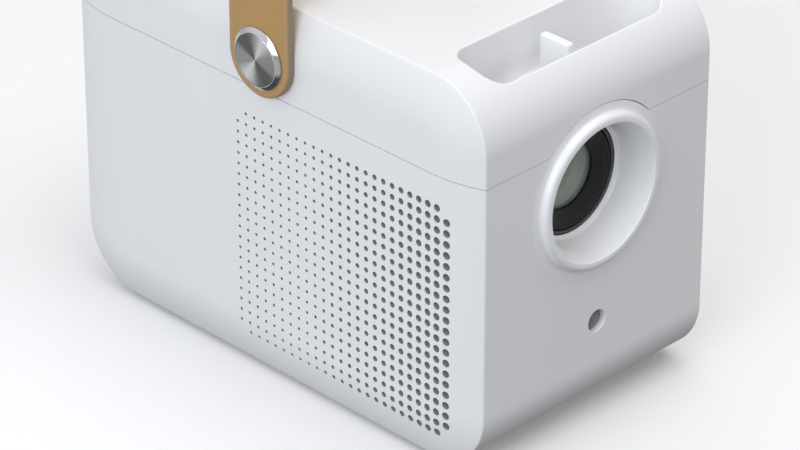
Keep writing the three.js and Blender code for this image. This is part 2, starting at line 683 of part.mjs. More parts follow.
function heatSink() {
  const points = [[-52.7, -35], [-52.7, 35]];
  const fins = 10;
  const pitch = 70 / (fins - 0.5);
  for (let fin = 0; fin < fins; fin += 1) {
    const edge = 35 - fin * pitch;
    points.push([-71.5, edge], [-71.5, edge - pitch / 2]);
    if (fin < fins - 1) points.push([-57.5, edge - pitch / 2], [-57.5, edge - pitch]);
  }
  const shape = new THREE.Shape(points.map(([x, y]) => new THREE.Vector2(x, y)));
  return prism(shape, 'z', [LENS_HEIGHT - 30, LENS_HEIGHT + 30]);
}

// ---------------------------------------------------------------- fans

/** Fan housing on its own axis, motor mount at the low end, centred on the origin. */
function fanFrame({ size, depth, bore, hub }) {
  const half = size / 2;
  const shell = prism(roundedRectangle(half, half, 5), 'z', [-depth / 2, depth / 2], 4);
  const through = rod('z', [0, 0, 0], bore, [-depth, depth], MEDIUM);
  const mount = rod('z', [0, 0, 0], hub - 1, [-depth / 2, -depth / 2 + 2]);
  const crossOne = box([-bore - 1, bore + 1], [-1.5, 1.5], [-depth / 2, -depth / 2 + 2]);
  const crossTwo = box([-1.5, 1.5], [-bore - 1, bore + 1], [-depth / 2, -depth / 2 + 2]);
  return joined([shell.subtract(through), mount, crossOne, crossTwo]);
}

/** Fan wheel on its own axis: a cup-shaped hub with pitched blades. */
function fanWheel({ depth, bore, hub, blades }) {
  const [low, high] = [-depth / 2 + 2.6, depth / 2 - 1.5];
  const pieces = [rod('z', [0, 0, 0], hub, [low, high])];
  for (let blade = 0; blade < blades; blade += 1) {
    const length = bore - 1.4 - hub + 2;
    const geometry = new THREE.BoxGeometry(length, 1.4, (high - low) * 1.1);
    geometry.rotateX(THREE.MathUtils.degToRad(38));
    geometry.translate(hub - 2 + length / 2, 0, (low + high) / 2);
    geometry.rotateZ(2 * Math.PI * blade / blades);
    pieces.push(solid(geometry));
  }
  return joined(pieces);
}

// ---------------------------------------------------------------- boards, ports, speakers

function mainBoard() {
  const low = MAIN_BOARD_HEIGHT;
  const high = low + BOARD_THICKNESS;
  const board = box([-95, -8], [-40, 40], [low, high]);
  const processor = box([-62, -38], [-12, 12], [high - 0.2, high + 4]);
  const connector = box([-22, -17], [-24, -6], [high - 0.2, high + 3]);
  const memory = [-30, 16].map((y) => box([-60, -46], [y, y + 10], [high - 0.2, high + 1.4]));
  return joined([board, processor, connector, ...memory]);
}

function powerBoard() {
  const low = POWER_BOARD_HEIGHT;
  const high = low + BOARD_THICKNESS;
  const board = box([-2, 58], [-33, 33], [low, high]);
  const transformer = box([16, 42], [-12, 12], [high - 0.2, high + 18]);
  const capacitors = [-22, 22].map((y) => rod('z', [28, y, 0], 7, [high - 0.2, high + 19]));
  return joined([board, transformer, ...capacitors]);
}

function keypadBoard() {
  const high = TOP - 7.2;
  const board = box([-84, -24], [-36, 36], [high - BOARD_THICKNESS, high]);
  const keys = [[PAD_X, 0], [PAD_X + 13.6, 0], [PAD_X - 13.6, 0], [PAD_X, 13.6], [PAD_X, -13.6]];
  for (const [, x, y] of SIDE_KEYS) keys.push([x, y]);
  const switches = keys.map(([x, y]) => box([x - 2.2, x + 2.2], [y - 2.2, y + 2.2], [high - 0.2, high + 1.7]));
  return joined([board, ...switches]);
}

/** A shell connector on the main board, open towards the rear. */
function boxPort(y, width, height) {
  const rear = -FRONT + 0.6;
  const low = PORT_HEIGHT - height / 2;
  const high = PORT_HEIGHT + height / 2;
  const shell = box([rear, rear + 14], [y - width / 2, y + width / 2], [low, high]);
  const mouth = box(
    [rear - 1, rear + 11],
    [y - width / 2 + 0.4, y + width / 2 - 0.4],
    [low + 0.4, high - 0.4],
  );
  const legs = box(
    [rear + 6, rear + 14],
    [y - width / 2 + 1, y + width / 2 - 1],
    [MAIN_BOARD_HEIGHT + BOARD_THICKNESS + GAP, low + 0.2],
  );
  return shell.subtract(mouth).add(legs);
}

function jack(y) {
  const rear = -FRONT + 0.6;
  const base = MAIN_BOARD_HEIGHT + BOARD_THICKNESS + GAP;
  const block = box([rear + 5, rear + 15], [y - 3.4, y + 3.4], [base, PORT_HEIGHT + 3.2]);
  const nose = rod('x', [0, y, PORT_HEIGHT], JACK_RADIUS, [rear, rear + 6]);
  return block.add(nose).subtract(rod('x', [0, y, PORT_HEIGHT], 1.8, [rear - 1, rear + 12], 8));
}

/** Mains inlet for a two-pin lead: a deep oval mouth, one pin above the other. */
function mainsInlet() {
  const [y, offset] = INLET;
  const [width, height] = INLET_SIZE;
  const low = PORT_HEIGHT - 4 + offset;
  const middle = low + height / 2;
  const rear = -FRONT + 0.4;
  const block = box([rear, rear + 16], [y - width / 2, y + width / 2], [low, low + height]);
  const oval = roundedRectangle(4, 8, 3.9, [y, middle]);
  const mouth = prism(oval, 'x', [rear - 1, rear + 11]);
  const pins = [-4.3, 4.3].map((z) => rod('x', [0, y, middle + z], 1.2, [rear + 2, rear + 11.5], 8));
  return block.subtract(mouth).add(joined(pins));
}

/** Round loudspeaker facing out of the side; side is +1 or -1. */
function speaker(side) {
  const face = INNER_SIDE - 0.5;
  const profile = [[0, face - 4.5], [8, face - 3], [20, face - 0.8], [22, face], [SPEAKER_RADIUS, face],
    [SPEAKER_RADIUS, face - 1.6], [21.5, face - 2.4], [14.5, face - 11], [14.5, face - 17], [0, face - 17]];
  return turned(profile.map(([radius, y]) => [radius, side * y]), 'y', [SPEAKER_X, 0, SPEAKER_Z], MEDIUM);
}

function infraredWindow() {
  const inner = FRONT - WALL - GAP;
  const profile = [[0, inner - 2], [6, inner - 2], [6, inner], [3.7, inner], [3.7, inner + 0.9], [2.4, inner + 1.7],
    [0, inner + 2]];
  return turned(profile, 'x', [0, ...IR_PLACE], COARSE);
}

function infraredBoard() {
  const front = FRONT - WALL - GAP - 2 - GAP;
  const [y, z] = IR_PLACE;
  return box([front - BOARD_THICKNESS, front], [y - 9, y + 9], [z - 10, z + 10]);
}

// ---------------------------------------------------------------- keys

function roundKey(radius) {
  const low = TOP - KEY_REACH;
  const crown = TOP + KEY_PROUD;
  const profile = [[0, low], [radius + KEY_FLANGE, low], [radius + KEY_FLANGE, low + 1.4],
    [radius, low + 1.4], [radius, crown], [0, crown]];
  return turned(profile, 'z', [0, 0, 0], MEDIUM);
}

/** The key in the middle of the pad has no flange: the four arrow keys surround it. */
function okKey() {
  const crown = TOP + KEY_PROUD;
  return rod('z', [0, 0, 0], OK_RADIUS, [TOP - KEY_REACH, crown], MEDIUM);
}

function arrowKey() {
  const spread = THREE.MathUtils.degToRad(42);
  const sector = (inner, outer) => {
    const shape = new THREE.Shape();
    shape.absarc(0, 0, outer, -spread, spread, false);
    shape.absarc(0, 0, inner, spread, -spread, true);
    return shape;
  };
  const low = TOP - KEY_REACH;
  const [inner, outer] = PAD_RADII;
  const cap = prism(sector(inner, outer), 'z', [low, TOP + KEY_PROUD]);
  return cap.add(prism(sector(inner, outer + KEY_FLANGE), 'z', [low, low + 1.4]));
}

function statusLight() {
  const low = TOP - 6.9;
  const profile = [[0, low], [2.4, low], [2.4, low + 1.4], [1.4, low + 1.4], [1.4, TOP], [0, TOP + 0.2]];
  return turned(profile, 'z', [...STATUS_LIGHT, 0], 8);
}

// ---------------------------------------------------------------- the object

const projector = new THREE.Group();
projector.name = 'home_projector';
projector.position.x = -RING_PROUD / 2;

/** Adds one sub-part, placed by its position and rotation. */
function add(name, shape, finish, position = [0, 0, 0], rotation = [0, 0, 0]) {
  const mesh = new THREE.Mesh(geometryOf(shape), new THREE.MeshStandardMaterial(FINISHES[finish]));
  mesh.name = name;
  mesh.position.set(...position);
  mesh.rotation.set(...rotation);
  projector.add(mesh);
}

function addCase() {
  add('lower_housing', lowerHousing(), 'white');
  add('lens_ring', ringAndHorn(), 'white');
  add('top_cover', topCover(), 'white');
  add('focus_well', focusWell().tub, 'white');
  add('rear_panel', rearPanel(), 'white');
  fourCorners(FOOT_X, FOOT_Y).forEach(([x, y], i) => add(`foot_${i + 1}`, foot(), 'rubber', [x, y, 0]));
  fourCorners(SCREW_X, SCREW_Y).forEach(([x, y], i) => {
    add(`case_screw_${i + 1}`, caseScrew(), 'steel', [x, y, 0]);
  });
}

function addStrap() {
  add('strap', strap(), 'leather');
  for (const [word, side] of [['left', 1], ['right', -1]]) {
    add(`strap_stud_${word}`, stud(side), 'steel');
    add(`stud_nut_${word}`, studNut(side), 'steel');
  }
}

function addLens() {
  add('lens_sleeve', lensSleeve(), 'black');
  add('focus_ring', focusRing(), 'white');
  add('lens_cell', lensCell(), 'black');
  add('lens_retainer', lensRetainer(), 'black');
  add('front_lens', frontLens(), 'glass');
  add('rear_lens', rearLens(), 'glass');
}

function addEngine() {
  add('light_box_front', lightBoxFront(), 'black');
  add('light_box_rear', lightBoxRear(), 'black');
  add('panel_frame', panelFrame(), 'black');
  for (const [name, from, to] of PLATES) add(name, enginePlate(from, to), 'glass');
  add('panel_ribbon', ribbon(), 'ribbon');
  add('condenser_lens', condenserLens(), 'glass');
  add('led_module', ledModule(), 'copper');
  add('heat_sink', heatSink(), 'aluminium');
}

function addFans() {
  const facingRear = [0, Math.PI / 2, 0];
  const exhaustPlace = [EXHAUST_FAN.x, 0, EXHAUST_FAN.z];
  const panelPlace = [PANEL_FAN.x, 0, PANEL_FAN.z];
  add('exhaust_fan_frame', fanFrame(EXHAUST_FAN), 'black', exhaustPlace, facingRear);
  add('exhaust_fan_wheel', fanWheel(EXHAUST_FAN), 'black', exhaustPlace, facingRear);
  add('panel_fan_frame', fanFrame(PANEL_FAN), 'black', panelPlace);
  add('panel_fan_wheel', fanWheel(PANEL_FAN), 'black', panelPlace);
}

function addElectronics() {
  add('main_board', mainBoard(), 'board');
  add('power_board', powerBoard(), 'board');
  add('keypad_board', keypadBoard(), 'board');
  add('hdmi_port', boxPort(...HDMI), 'steel');
  for (const [name, y] of USB_PORTS) add(name, boxPort(y, ...USB_MOUTH), 'steel');
  for (const [name, y] of JACKS) add(name, jack(y), 'black');
  add('mains_inlet', mainsInlet(), 'black');
  add('speaker_left', speaker(1), 'black');
  add('speaker_right', speaker(-1), 'black');
  add('infrared_window', infraredWindow(), 'black');
  add('infrared_board', infraredBoard(), 'board');
}

function addKeypad() {
  for (const [name, x, y, radius] of SIDE_KEYS) add(name, roundKey(radius), 'white', [x, y, 0]);
  add('ok_button', okKey(), 'white', [PAD_X, 0, 0]);
  for (const [name, degrees] of ARROWS) {
    add(name, arrowKey(), 'white', [PAD_X, 0, 0], [0, 0, THREE.MathUtils.degToRad(degrees)]);
  }
  add('status_light', statusLight(), 'glass');
}

addCase();
addStrap();
addLens();
addEngine();
addFans();
addElectronics();
addKeypad();

export default projector;
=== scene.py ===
"""Home projector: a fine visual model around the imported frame, in a pale studio.

Shapes are worked out in millimetres in the case's own frame (x to the lens, y to the projector's
left, z up, x = 0 in the middle of the case), and placed in the row frame by ORIGIN.
"""

import math

import bpy
import numpy as np
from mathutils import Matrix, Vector
from mathutils.geometry import delaunay_2d_cdt


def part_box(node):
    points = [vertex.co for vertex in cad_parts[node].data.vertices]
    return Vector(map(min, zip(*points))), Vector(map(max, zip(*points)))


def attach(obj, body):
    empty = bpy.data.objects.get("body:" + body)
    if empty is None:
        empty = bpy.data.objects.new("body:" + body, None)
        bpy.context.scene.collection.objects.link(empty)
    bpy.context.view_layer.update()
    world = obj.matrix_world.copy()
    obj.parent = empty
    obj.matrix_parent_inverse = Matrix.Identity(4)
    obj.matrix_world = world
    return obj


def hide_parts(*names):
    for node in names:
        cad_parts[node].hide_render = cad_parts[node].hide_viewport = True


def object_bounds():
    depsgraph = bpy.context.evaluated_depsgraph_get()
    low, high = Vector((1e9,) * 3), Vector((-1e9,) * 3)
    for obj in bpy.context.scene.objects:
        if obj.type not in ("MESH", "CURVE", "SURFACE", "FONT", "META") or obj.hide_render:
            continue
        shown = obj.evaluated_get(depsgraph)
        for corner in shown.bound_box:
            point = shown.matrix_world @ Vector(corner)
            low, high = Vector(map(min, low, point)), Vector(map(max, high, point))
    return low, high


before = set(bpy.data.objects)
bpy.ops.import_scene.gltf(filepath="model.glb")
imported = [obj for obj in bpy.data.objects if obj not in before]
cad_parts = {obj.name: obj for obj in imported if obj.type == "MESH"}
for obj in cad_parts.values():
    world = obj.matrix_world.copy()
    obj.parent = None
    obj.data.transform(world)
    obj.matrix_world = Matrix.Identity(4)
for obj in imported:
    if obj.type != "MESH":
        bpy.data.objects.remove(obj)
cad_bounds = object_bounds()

MM = 0.001
LEAST_ROUGHNESS = 0.02
FLOOR_REACH = 6.0  # metres

# The strap's leather: how much lighter its rounded bevel is along the edge attribute, the lighter colour there,
# and the edge paint
BEVEL_LIGHTENING = ((0.0, 0.0), (0.3, 1.0), (1.0, 0.0))
LIGHT_BEVEL_TAN = (0.58, 0.36, 0.17, 1)
EDGE_PAINT = (0.31, 0.24, 0.155, 1)

# ---------------------------------------------------------------- dimensions, millimetres

HALF_LENGTH = 100.4
HALF_WIDTH = 59.3
BASE = 1.6
TOP = 149.8
CORNER = 24.0
EDGE_INSET = 4.4
EDGE_ROUND = 0.55
PILLOW_SPAN = 20.0
INWARD_SPAN = 6.0
WALL = 2.8
SEAM = 115.1
GAP = 0.3
INNER = HALF_LENGTH - CORNER  # where the corners' centres lie along the case
MIDDLE = (TOP + BASE) / 2
QUARTER = math.pi / 2 * CORNER  # length of a corner's arc
STRAIGHT_STEP = 3.5
ARC_STEPS = 20
ACROSS_STEPS = 38
PORT_REAR = -99.8  # the ports' outer rims
PORT_Z = 35.0

HOLE_PITCH = 4.2
HOLE_COLUMNS = 25
HOLE_ROWS = 22
HOLE_SMALL = 1.2
HOLE_LARGE = 2.9
HOLE_SMALL_COLUMNS = 8
FIRST_COLUMN_X = -14.5
TOP_ROW_Z = 103.0

LENS_Z = 93.4
RING_RADIUS = 32.4
RING_STEPS = 192
WELL_CENTRE = (80.75, 0.55)
WELL_HALF = (10.5, 43.05)
WELL_CORNER = 8.0
WELL_WALL = 2.2
WELL_FLOOR = 118.0
HUMP_RADIUS = 36.0
RIM_ROUND = 0.8
LEVER_X = 79.8

STUD_Z = 129.5
STRAP_HALF_WIDTH = 14.7
STRAP_THICKNESS = 2.9
STRAP_LEG_TOP = 152.0
STRAP_RISE = 46.0
STRAP_ROUNDNESS = 2.5

IR_Y = 0.85
IR_Z = 41.6
IR_RADIUS = 4.15
PAD_X = -57.0
PAD_RADII = (8.2, 19.0)
SIDE_KEYS = (
    ("back", PAD_X, 30.0, 4.5),
    ("menu", PAD_X, -30.0, 4.5),
    ("power", -30.0, 0.0, 5.0),
)
STATUS_LIGHT = (-30.0, 12.0, 1.4)
OK_RADIUS = 7.5
STUD_HOLE = 3.3
SCREW_HOLES = (76.0, 46.0, 3.3)  # half spacings in x and y, radius
PANEL_HEIGHTS = (28.3, 109.7)
PANEL_HALF = 44.7
PANEL_X = -HALF_LENGTH + 0.2
# Wide ports: name, place across, half width, half height and corner of the mouth, half width of the tongue
WIDE_PORTS = (
    ("hdmi", 8.0, 7.8, 3.1, 0.7, 5.4),
    ("usb_left", -10.0, 6.9, 3.2, 0.6, 4.9),
    ("usb_right", -26.0, 6.9, 3.2, 0.6, 4.9),
)
LEVER_SLOT = (4.1, 26.0)
FLOOR_THICKNESS = 2.0
EYE_STEPS = 40
EYE_RIM = ((0.35, 0.0, 1.0), (0.12, -0.1, 0.75), (0.0, -0.35, 0.3))  # past the radius, place, facing out

# How far the points that shape a surface keep from a hole, an opening and a seam
HOLE_CLEAR = 0.6
OPENING_CLEAR = 0.7
SEAM_CLEAR = 0.8
SIDE_DEPTHS = (1.2, 2.2, 3.6, 5.2, 7.0, 9.0, 11.0, 13.0, 15.0, 17.0, 19.0, 20.0, 21.5)

lower_low, lower_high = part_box("lower_housing")
ORIGIN = Vector(
    (
        lower_low.x + HALF_LENGTH * MM,
        (lower_low.y + lower_high.y) / 2,
        cad_bounds[0].z,
    )
)


def row(points):
    """Case millimetres to row-frame metres."""
    return np.asarray(points, float) * MM + np.array(ORIGIN)


# ---------------------------------------------------------------- camera, first of all

CAMERA_AZIMUTH = 45.11
CAMERA_ELEVATION = 29.88
CAMERA_LENS = 194.6
CAMERA_DEPTH = 1490.2
HOLE_IN_VIEW = (-56.0, 39.7)


def direction(azimuth, elevation):
    a, e = math.radians(azimuth), math.radians(elevation)
    return Vector((math.sin(a) * math.cos(e), -math.cos(a) * math.cos(e), math.sin(e)))


def add_camera():
    """The first hole of the grid fixes the view, by its place across the picture and its depth."""
    back = direction(CAMERA_AZIMUTH, CAMERA_ELEVATION)
    turn = (-back).to_track_quat("-Z", "Y")
    right, up = turn @ Vector((1, 0, 0)), turn @ Vector((0, 1, 0))
    hole = Vector(row((FIRST_COLUMN_X, -HALF_WIDTH, TOP_ROW_Z)))
    data = bpy.data.cameras.new("camera")
    data.lens = CAMERA_LENS
    data.sensor_width = 36
    data.clip_start, data.clip_end = 0.05, 50
    camera = bpy.data.objects.new("camera", data)
    camera.location = hole + back * CAMERA_DEPTH * MM
    camera.location -= right * HOLE_IN_VIEW[0] * MM + up * HOLE_IN_VIEW[1] * MM
    camera.rotation_mode = "QUATERNION"
    camera.rotation_quaternion = turn
    bpy.context.scene.collection.objects.link(camera)
    bpy.context.scene.camera = camera


add_camera()

# ---------------------------------------------------------------- mesh tools


def weld(points, per_mm=500):
    """Which points stand for their places, and which of those each point becomes."""
    keys = np.round(points * per_mm).astype(np.int64)
    _, first, back = np.unique(keys, axis=0, return_index=True, return_inverse=True)
    return first, back.reshape(-1)


def distinct(ring):
    """A face's points without neighbours that are the same."""
    return [a for k, a in enumerate(ring) if a != ring[k - 1]]


def quads(levels, around, closed=True):
    """Faces between successive rows of points, each row as long as the others."""
    faces = []
    for k in range(levels - 1):
        for i in range(around if closed else around - 1):
            j = (i + 1) % around
            faces.append((k * around + i, k * around + j, (k + 1) * around + j, (k + 1) * around + i))
    return faces


class Sheet:
    """A growing surface: points, their partners on the hidden side, outward normals and faces."""

    def __init__(self):
        self.points, self.partners, self.normals = [], [], []
        self.faces, self.looks = [], []
        self.count = 0

    def add(self, points, partners, normals, faces, look=0):
        self.points.append(points)
        self.partners.append(partners)
        self.normals.append(normals)
        self.faces += [tuple(i + self.count for i in face) for face in faces]
        self.looks += [look] * len(faces)
        self.count += len(points)

    def strip(self, rows, closed, look=0):
        """Joins rows of (points, partners, normals), each of the same length, by quads."""
        stacked = [np.concatenate([r[part] for r in rows]) for part in range(3)]
        self.add(*stacked, quads(len(rows), len(rows[0][0]), closed), look)

    def welded(self):
        """One array each, with points that coincide made one."""
        points = np.concatenate(self.points)
        first, back = weld(points)
        faces, looks = [], []
        for face, look in zip(self.faces, self.looks):
            ring = distinct([int(back[i]) for i in face])
            if len(set(ring)) == len(ring) >= 3:
                faces.append(tuple(ring))
                looks.append(look)
        partners, normals = np.concatenate(self.partners), np.concatenate(self.normals)
        return points[first], partners[first], normals[first], faces, looks


def make_object(name, shape, body, looks, sharp=32, replaces=()):
    """A mesh object in the row frame from a shape in case millimetres, riding a body."""
    points, faces = shape
    mesh = bpy.data.meshes.new(name)
    mesh.from_pydata(row(points).tolist(), [], faces)
    mesh.update()
    mesh.shade_smooth()
    mesh.set_sharp_from_angle(angle=math.radians(sharp))
    for look in looks:
        mesh.materials.append(MADE[look])
    made = bpy.data.objects.new(name, mesh)
    bpy.context.scene.collection.objects.link(made)
    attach(made, body)
    if replaces:
        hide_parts(*replaces)
    return made


def face_towards(points, faces, normals):
    """Turns each face so that it agrees with its points' normals."""
    turned_faces = []
    for face in faces:
        a, b, c = (points[face[k]] for k in range(3))
        facing = np.cross(b - a, c - a) @ (normals[face[0]] + normals[face[1]] + normals[face[2]])
        turned_faces.append(face if facing > 0 else face[::-1])
    return turned_faces


def in_grid(x, z, margin):
    """Whether a place on a side lies among its round holes."""
    last_x = FIRST_COLUMN_X + (HOLE_COLUMNS - 1) * HOLE_PITCH
    last_z = TOP_ROW_Z - (HOLE_ROWS - 1) * HOLE_PITCH
    along = (x > FIRST_COLUMN_X - margin) & (x < last_x + margin)
    return along & (z > last_z - margin) & (z < TOP_ROW_Z + margin)


def make_shell(name, sheet, looks_used, replaces):
    """A wall with real thickness: the sheet, its partners behind it, and a rim along every free edge."""
    points, partners, normals, faces, looks = sheet.welded()
    faces = face_towards(points, faces, normals)
    edges = {(face[k - 1], face[k]) for face in faces for k in range(len(face))}
    free = [edge for edge in edges if edge[::-1] not in edges]
    first, back = weld(partners)
    behind = (len(points) + first[back]).tolist()
    outer = len(faces)
    for face in faces[:outer]:
        ring = distinct([behind[i] for i in reversed(face)])
        if len(set(ring)) == len(ring) >= 3:
            faces.append(tuple(ring))
    looks += [0] * (len(faces) - outer)
    x, y, z = points.T
    # Rims among the side's round holes are hole walls; they take the second look, the darker one with painted
    # shade
    bored = in_grid(x, z, HOLE_PITCH / 2) & (np.abs(y) > HALF_WIDTH / 2)
    for a, b in sorted(free):
        ring = distinct([b, a, behind[a], behind[b]])
        if len(ring) >= 3:
            faces.append(tuple(ring))
            looks.append(1 if bored[a] else 0)
    used = sorted({i for face in faces for i in face})
    renumber = {old: new for new, old in enumerate(used)}
    faces = [tuple(renumber[i] for i in face) for face in faces]
    both = np.concatenate([points, partners])[used]
    made = make_object(name, (both, faces), "housing", looks_used, 30, replaces)
    mesh = made.data
    mesh.polygons.foreach_set("material_index", looks)
    rims = {frozenset((renumber[a], renumber[b])) for a, b in free}
    sharp = mesh.attributes.get("sharp_edge") or mesh.attributes.new("sharp_edge", "BOOLEAN", "EDGE")
    flags = np.zeros(len(mesh.edges), bool)
    sharp.data.foreach_get("value", flags)
    flags |= [frozenset(edge.vertices) in rims for edge in mesh.edges]
    sharp.data.foreach_set("value", flags)
    loop_normals = np.zeros((len(mesh.loops), 3))
    point_normals = np.concatenate([normals, np.zeros_like(normals)])[used]
    for polygon in mesh.polygons[:outer]:
        for loop in polygon.loop_indices:
            loop_normals[loop] = point_normals[mesh.loops[loop].vertex_index]
    mesh.normals_split_custom_set(loop_normals.tolist())


def inside_loop(points, loop):
    """Which points lie inside a closed polygon."""
    inside = np.zeros(len(points), bool)
    x, y = points[:, 0], points[:, 1]
    for k in range(len(loop)):
        (x0, y0), (x1, y1) = loop[k - 1], loop[k]
        crosses = (y0 > y) != (y1 > y)
        if y1 != y0:
            inside ^= crosses & (x < (x1 - x0) * (y - y0) / (y1 - y0) + x0)
    return inside


def triangulate(outline, holes, extra, small_holes=()):
    """Triangles that fill a flat outline around its holes. Returns points and faces."""
    coords, edges = [], []
    for loop in [outline, *holes, *small_holes]:
        start = len(coords)
        coords += [Vector((float(a), float(b))) for a, b in loop]
        edges += [(start + k, start + (k + 1) % len(loop)) for k in range(len(loop))]
    coords += [Vector((float(a), float(b))) for a, b in extra]
    verts, _, faces, *_ = delaunay_2d_cdt(coords, edges, [], 0, 1e-5)
    flat = np.array([(v.x, v.y) for v in verts])
    triangles = np.array([tuple(f) for f in faces if len(f) == 3])
    centres = flat[triangles].mean(axis=1)
    keep = inside_loop(centres, outline)
    for hole in holes:
        keep &= ~inside_loop(centres, hole)
    for hole in small_holes:
        middle = np.mean(hole, axis=0)
        radius = np.hypot(*(np.add(hole[0], hole[1]) / 2 - middle))
        near = np.abs(centres - middle).max(axis=1) < radius
        keep[near] &= np.hypot(*(centres[near] - middle).T) > radius
    return flat, [tuple(int(i) for i in t) for t in triangles[keep]]


def circle(centre, radius, steps, start=0.0):
    angles = start + np.arange(steps) * 2 * math.pi / steps
    return np.stack([centre[0] + radius * np.cos(angles), centre[1] + radius * np.sin(angles)], 1)


def rounded_rectangle(centre, half, radius, steps=10, side=3.0):
    """A closed outline with points along its straight sides too."""
    loop = []
    for sx, sy, quarter in ((1, 1, 0), (-1, 1, 1), (-1, -1, 2), (1, -1, 3)):
        middle = np.add(centre, (sx * (half[0] - radius), sy * (half[1] - radius)))
        for k in range(steps + 1):
            angle = (quarter + k / steps) * math.pi / 2
            loop.append(middle + (radius * math.cos(angle), radius * math.sin(angle)))
    full = []
    for k, a in enumerate(loop):
        step = loop[(k + 1) % len(loop)] - a
        pieces = max(1, int(np.hypot(*step) // side))
        full += [a + step * j / pieces for j in range(pieces)]
    return np.array(full)


def rounded_profile(corners, steps=5):
    """A polyline of (radius, place, rounding) with each corner eased by its rounding."""
    out = []
    n = len(corners)
    for k in range(n):
        here = np.array(corners[k][:2], float)
        ease = corners[k][2] if len(corners[k]) > 2 else 0
        if not ease:
            out.append(here)
            continue
        before = np.array(corners[k - 1][:2], float)
        after = np.array(corners[(k + 1) % n][:2], float)
        a = here + (before - here) / np.linalg.norm(before - here) * ease
        b = here + (after - here) / np.linalg.norm(after - here) * ease
        for j in range(steps + 1):
            t = j / steps
            out.append(a * (1 - t) ** 2 + here * 2 * t * (1 - t) + b * t * t)
    return np.array(out)


def smooth_curve(points, steps=6):
    """A Catmull-Rom curve through the points."""
    p = [np.array(q, float) for q in points]
    p = [2 * p[0] - p[1], *p, 2 * p[-1] - p[-2]]
    out = []
    for a, b, c, d in zip(p, p[1:], p[2:], p[3:]):
        for t in np.arange(steps) / steps:
            bend = (2 * a - 5 * b + 4 * c - d) * t * t + (3 * b - a - 3 * c + d) * t**3
            out.append(0.5 * (2 * b + (c - a) * t + bend))
    out.append(p[-2])
    return np.array(out)


AXES = {"x": (0, 1, 2), "y": (1, 0, 2), "z": (2, 0, 1)}


def turned(profile, axis, centre, steps=96):
    """A shape from a profile of (radius, place) turned round an axis; radius 0 ends make one point."""
    place, first, second = AXES[axis]
    points, rings = [], []
    for radius, along in profile:
        around = steps if radius > 1e-6 else 1
        rings.append([len(points) + k for k in range(around)])
        for k in range(around):
            angle = 2 * math.pi * k / steps
            p = list(centre)
            p[place] += along
            p[first] += radius * math.cos(angle)
            p[second] += radius * math.sin(angle)
            points.append(p)
    faces = []
    pairs = list(zip(rings, rings[1:]))
    if profile[0][0] > 1e-6 and profile[-1][0] > 1e-6:
        pairs.append((rings[-1], rings[0]))
    for low, high in pairs:
        for k in range(steps):
            j = (k + 1) % steps
            face = distinct([low[k % len(low)], low[j % len(low)], high[j % len(high)], high[k % len(high)]])
            if len(face) >= 3:
                faces.append(tuple(face))
    return outward(np.array(points), faces)


def outward(points, faces):
    """Turns a closed surface's faces outwards, all or none."""
    volume = 0.0
    for face in faces:
        a = points[face[0]]
        for k in range(1, len(face) - 1):
            volume += a @ np.cross(points[face[k]], points[face[k + 1]])
    return points, [f[::-1] for f in faces] if volume < 0 else faces


def join(*shapes):
    """Several shapes as one."""
    points, faces = [], []
    for more, more_faces in shapes:
        start = sum(len(p) for p in points)
        points.append(more)
        faces += [tuple(i + start for i in f) for f in more_faces]
    return np.concatenate(points), faces


def slab(loop, low, high, ease):
    """A flat-topped shape over an outline in (x, y) that turns left, its upper edge eased."""
    along = np.roll(loop, -1, 0) - np.roll(loop, 1, 0)
    inwards = np.stack([-along[:, 1], along[:, 0]], 1)
    inwards /= np.linalg.norm(inwards, axis=1)[:, None]
    levels = [(0.0, low)]
    for t in np.linspace(0, math.pi / 2, 6):
        levels.append((ease * (1 - math.cos(t)), high - ease * (1 - math.sin(t))))
    points = [(x, y, z) for inset, z in levels for x, y in loop + inwards * inset]
    n = len(loop)
    rim = loop + inwards * ease
    flat, triangles = triangulate(rim, [], [])
    top = [(len(levels) - 1) * n + int(np.hypot(*(rim - p).T).argmin()) for p in flat]
    faces = quads(len(levels), n) + [tuple(top[i] for i in t) for t in triangles]
    return np.array(points), faces + [tuple(reversed(range(n)))]


# ---------------------------------------------------------------- materials


def feed(tree, node, inputs):
    """Sets a node's inputs, each to a value or to the socket that it is linked from."""
    for name, value in inputs.items():
        if isinstance(value, bpy.types.NodeSocket):
            tree.links.new(value, node.inputs[name])
        else:
            node.inputs[name].default_value = value


def add_node(tree, kind, inputs, **settings):
    """The outputs of a new node with its settings and inputs."""
    made = tree.nodes.new("ShaderNode" + kind)
    for name, value in settings.items():
        setattr(made, name, value)
    feed(tree, made, inputs)
    return made.outputs


def noise(tree, inputs, **settings):
    return add_node(tree, "TexNoise", inputs, **settings)["Fac"]


def spread(tree, value, low, high):
    """A value from 0 to 1, drawn out from low to high."""
    return add_node(tree, "MapRange", {"Value": value, "To Min": low, "To Max": high})["Result"]


def mix_colours(tree, share, first, second, **settings):
    """The colour between two by a share."""
    return add_node(tree, "Mix", {0: share, 6: first, 7: second}, data_type="RGBA", **settings)[2]


def grey_ramp(tree, share, stops):
    """Grey by a share from 0 to 1, straight between stops of (share, grey)."""
    made = tree.nodes.new("ShaderNodeValToRGB")
    tree.links.new(share, made.inputs["Fac"])
    elements = made.color_ramp.elements
    for end, (place, grey) in ((0, stops[0]), (1, stops[-1])):
        elements[end].position, elements[end].color = place, (grey, grey, grey, 1)
    for place, grey in stops[1:-1]:
        elements.new(place).color = (grey, grey, grey, 1)
    return made.outputs["Color"]


def relief(tree, height, strength, depth, **under):
    """Fine relief from a height, over any Normal under it."""
    inputs = {"Height": height, "Strength": strength, "Distance": depth, **under}
    return add_node(tree, "Bump", inputs)["Normal"]


def new_material(name):
    made = bpy.data.materials.new(name)
    made.use_nodes = True
    return made, made.node_tree, made.node_tree.nodes["Principled BSDF"]


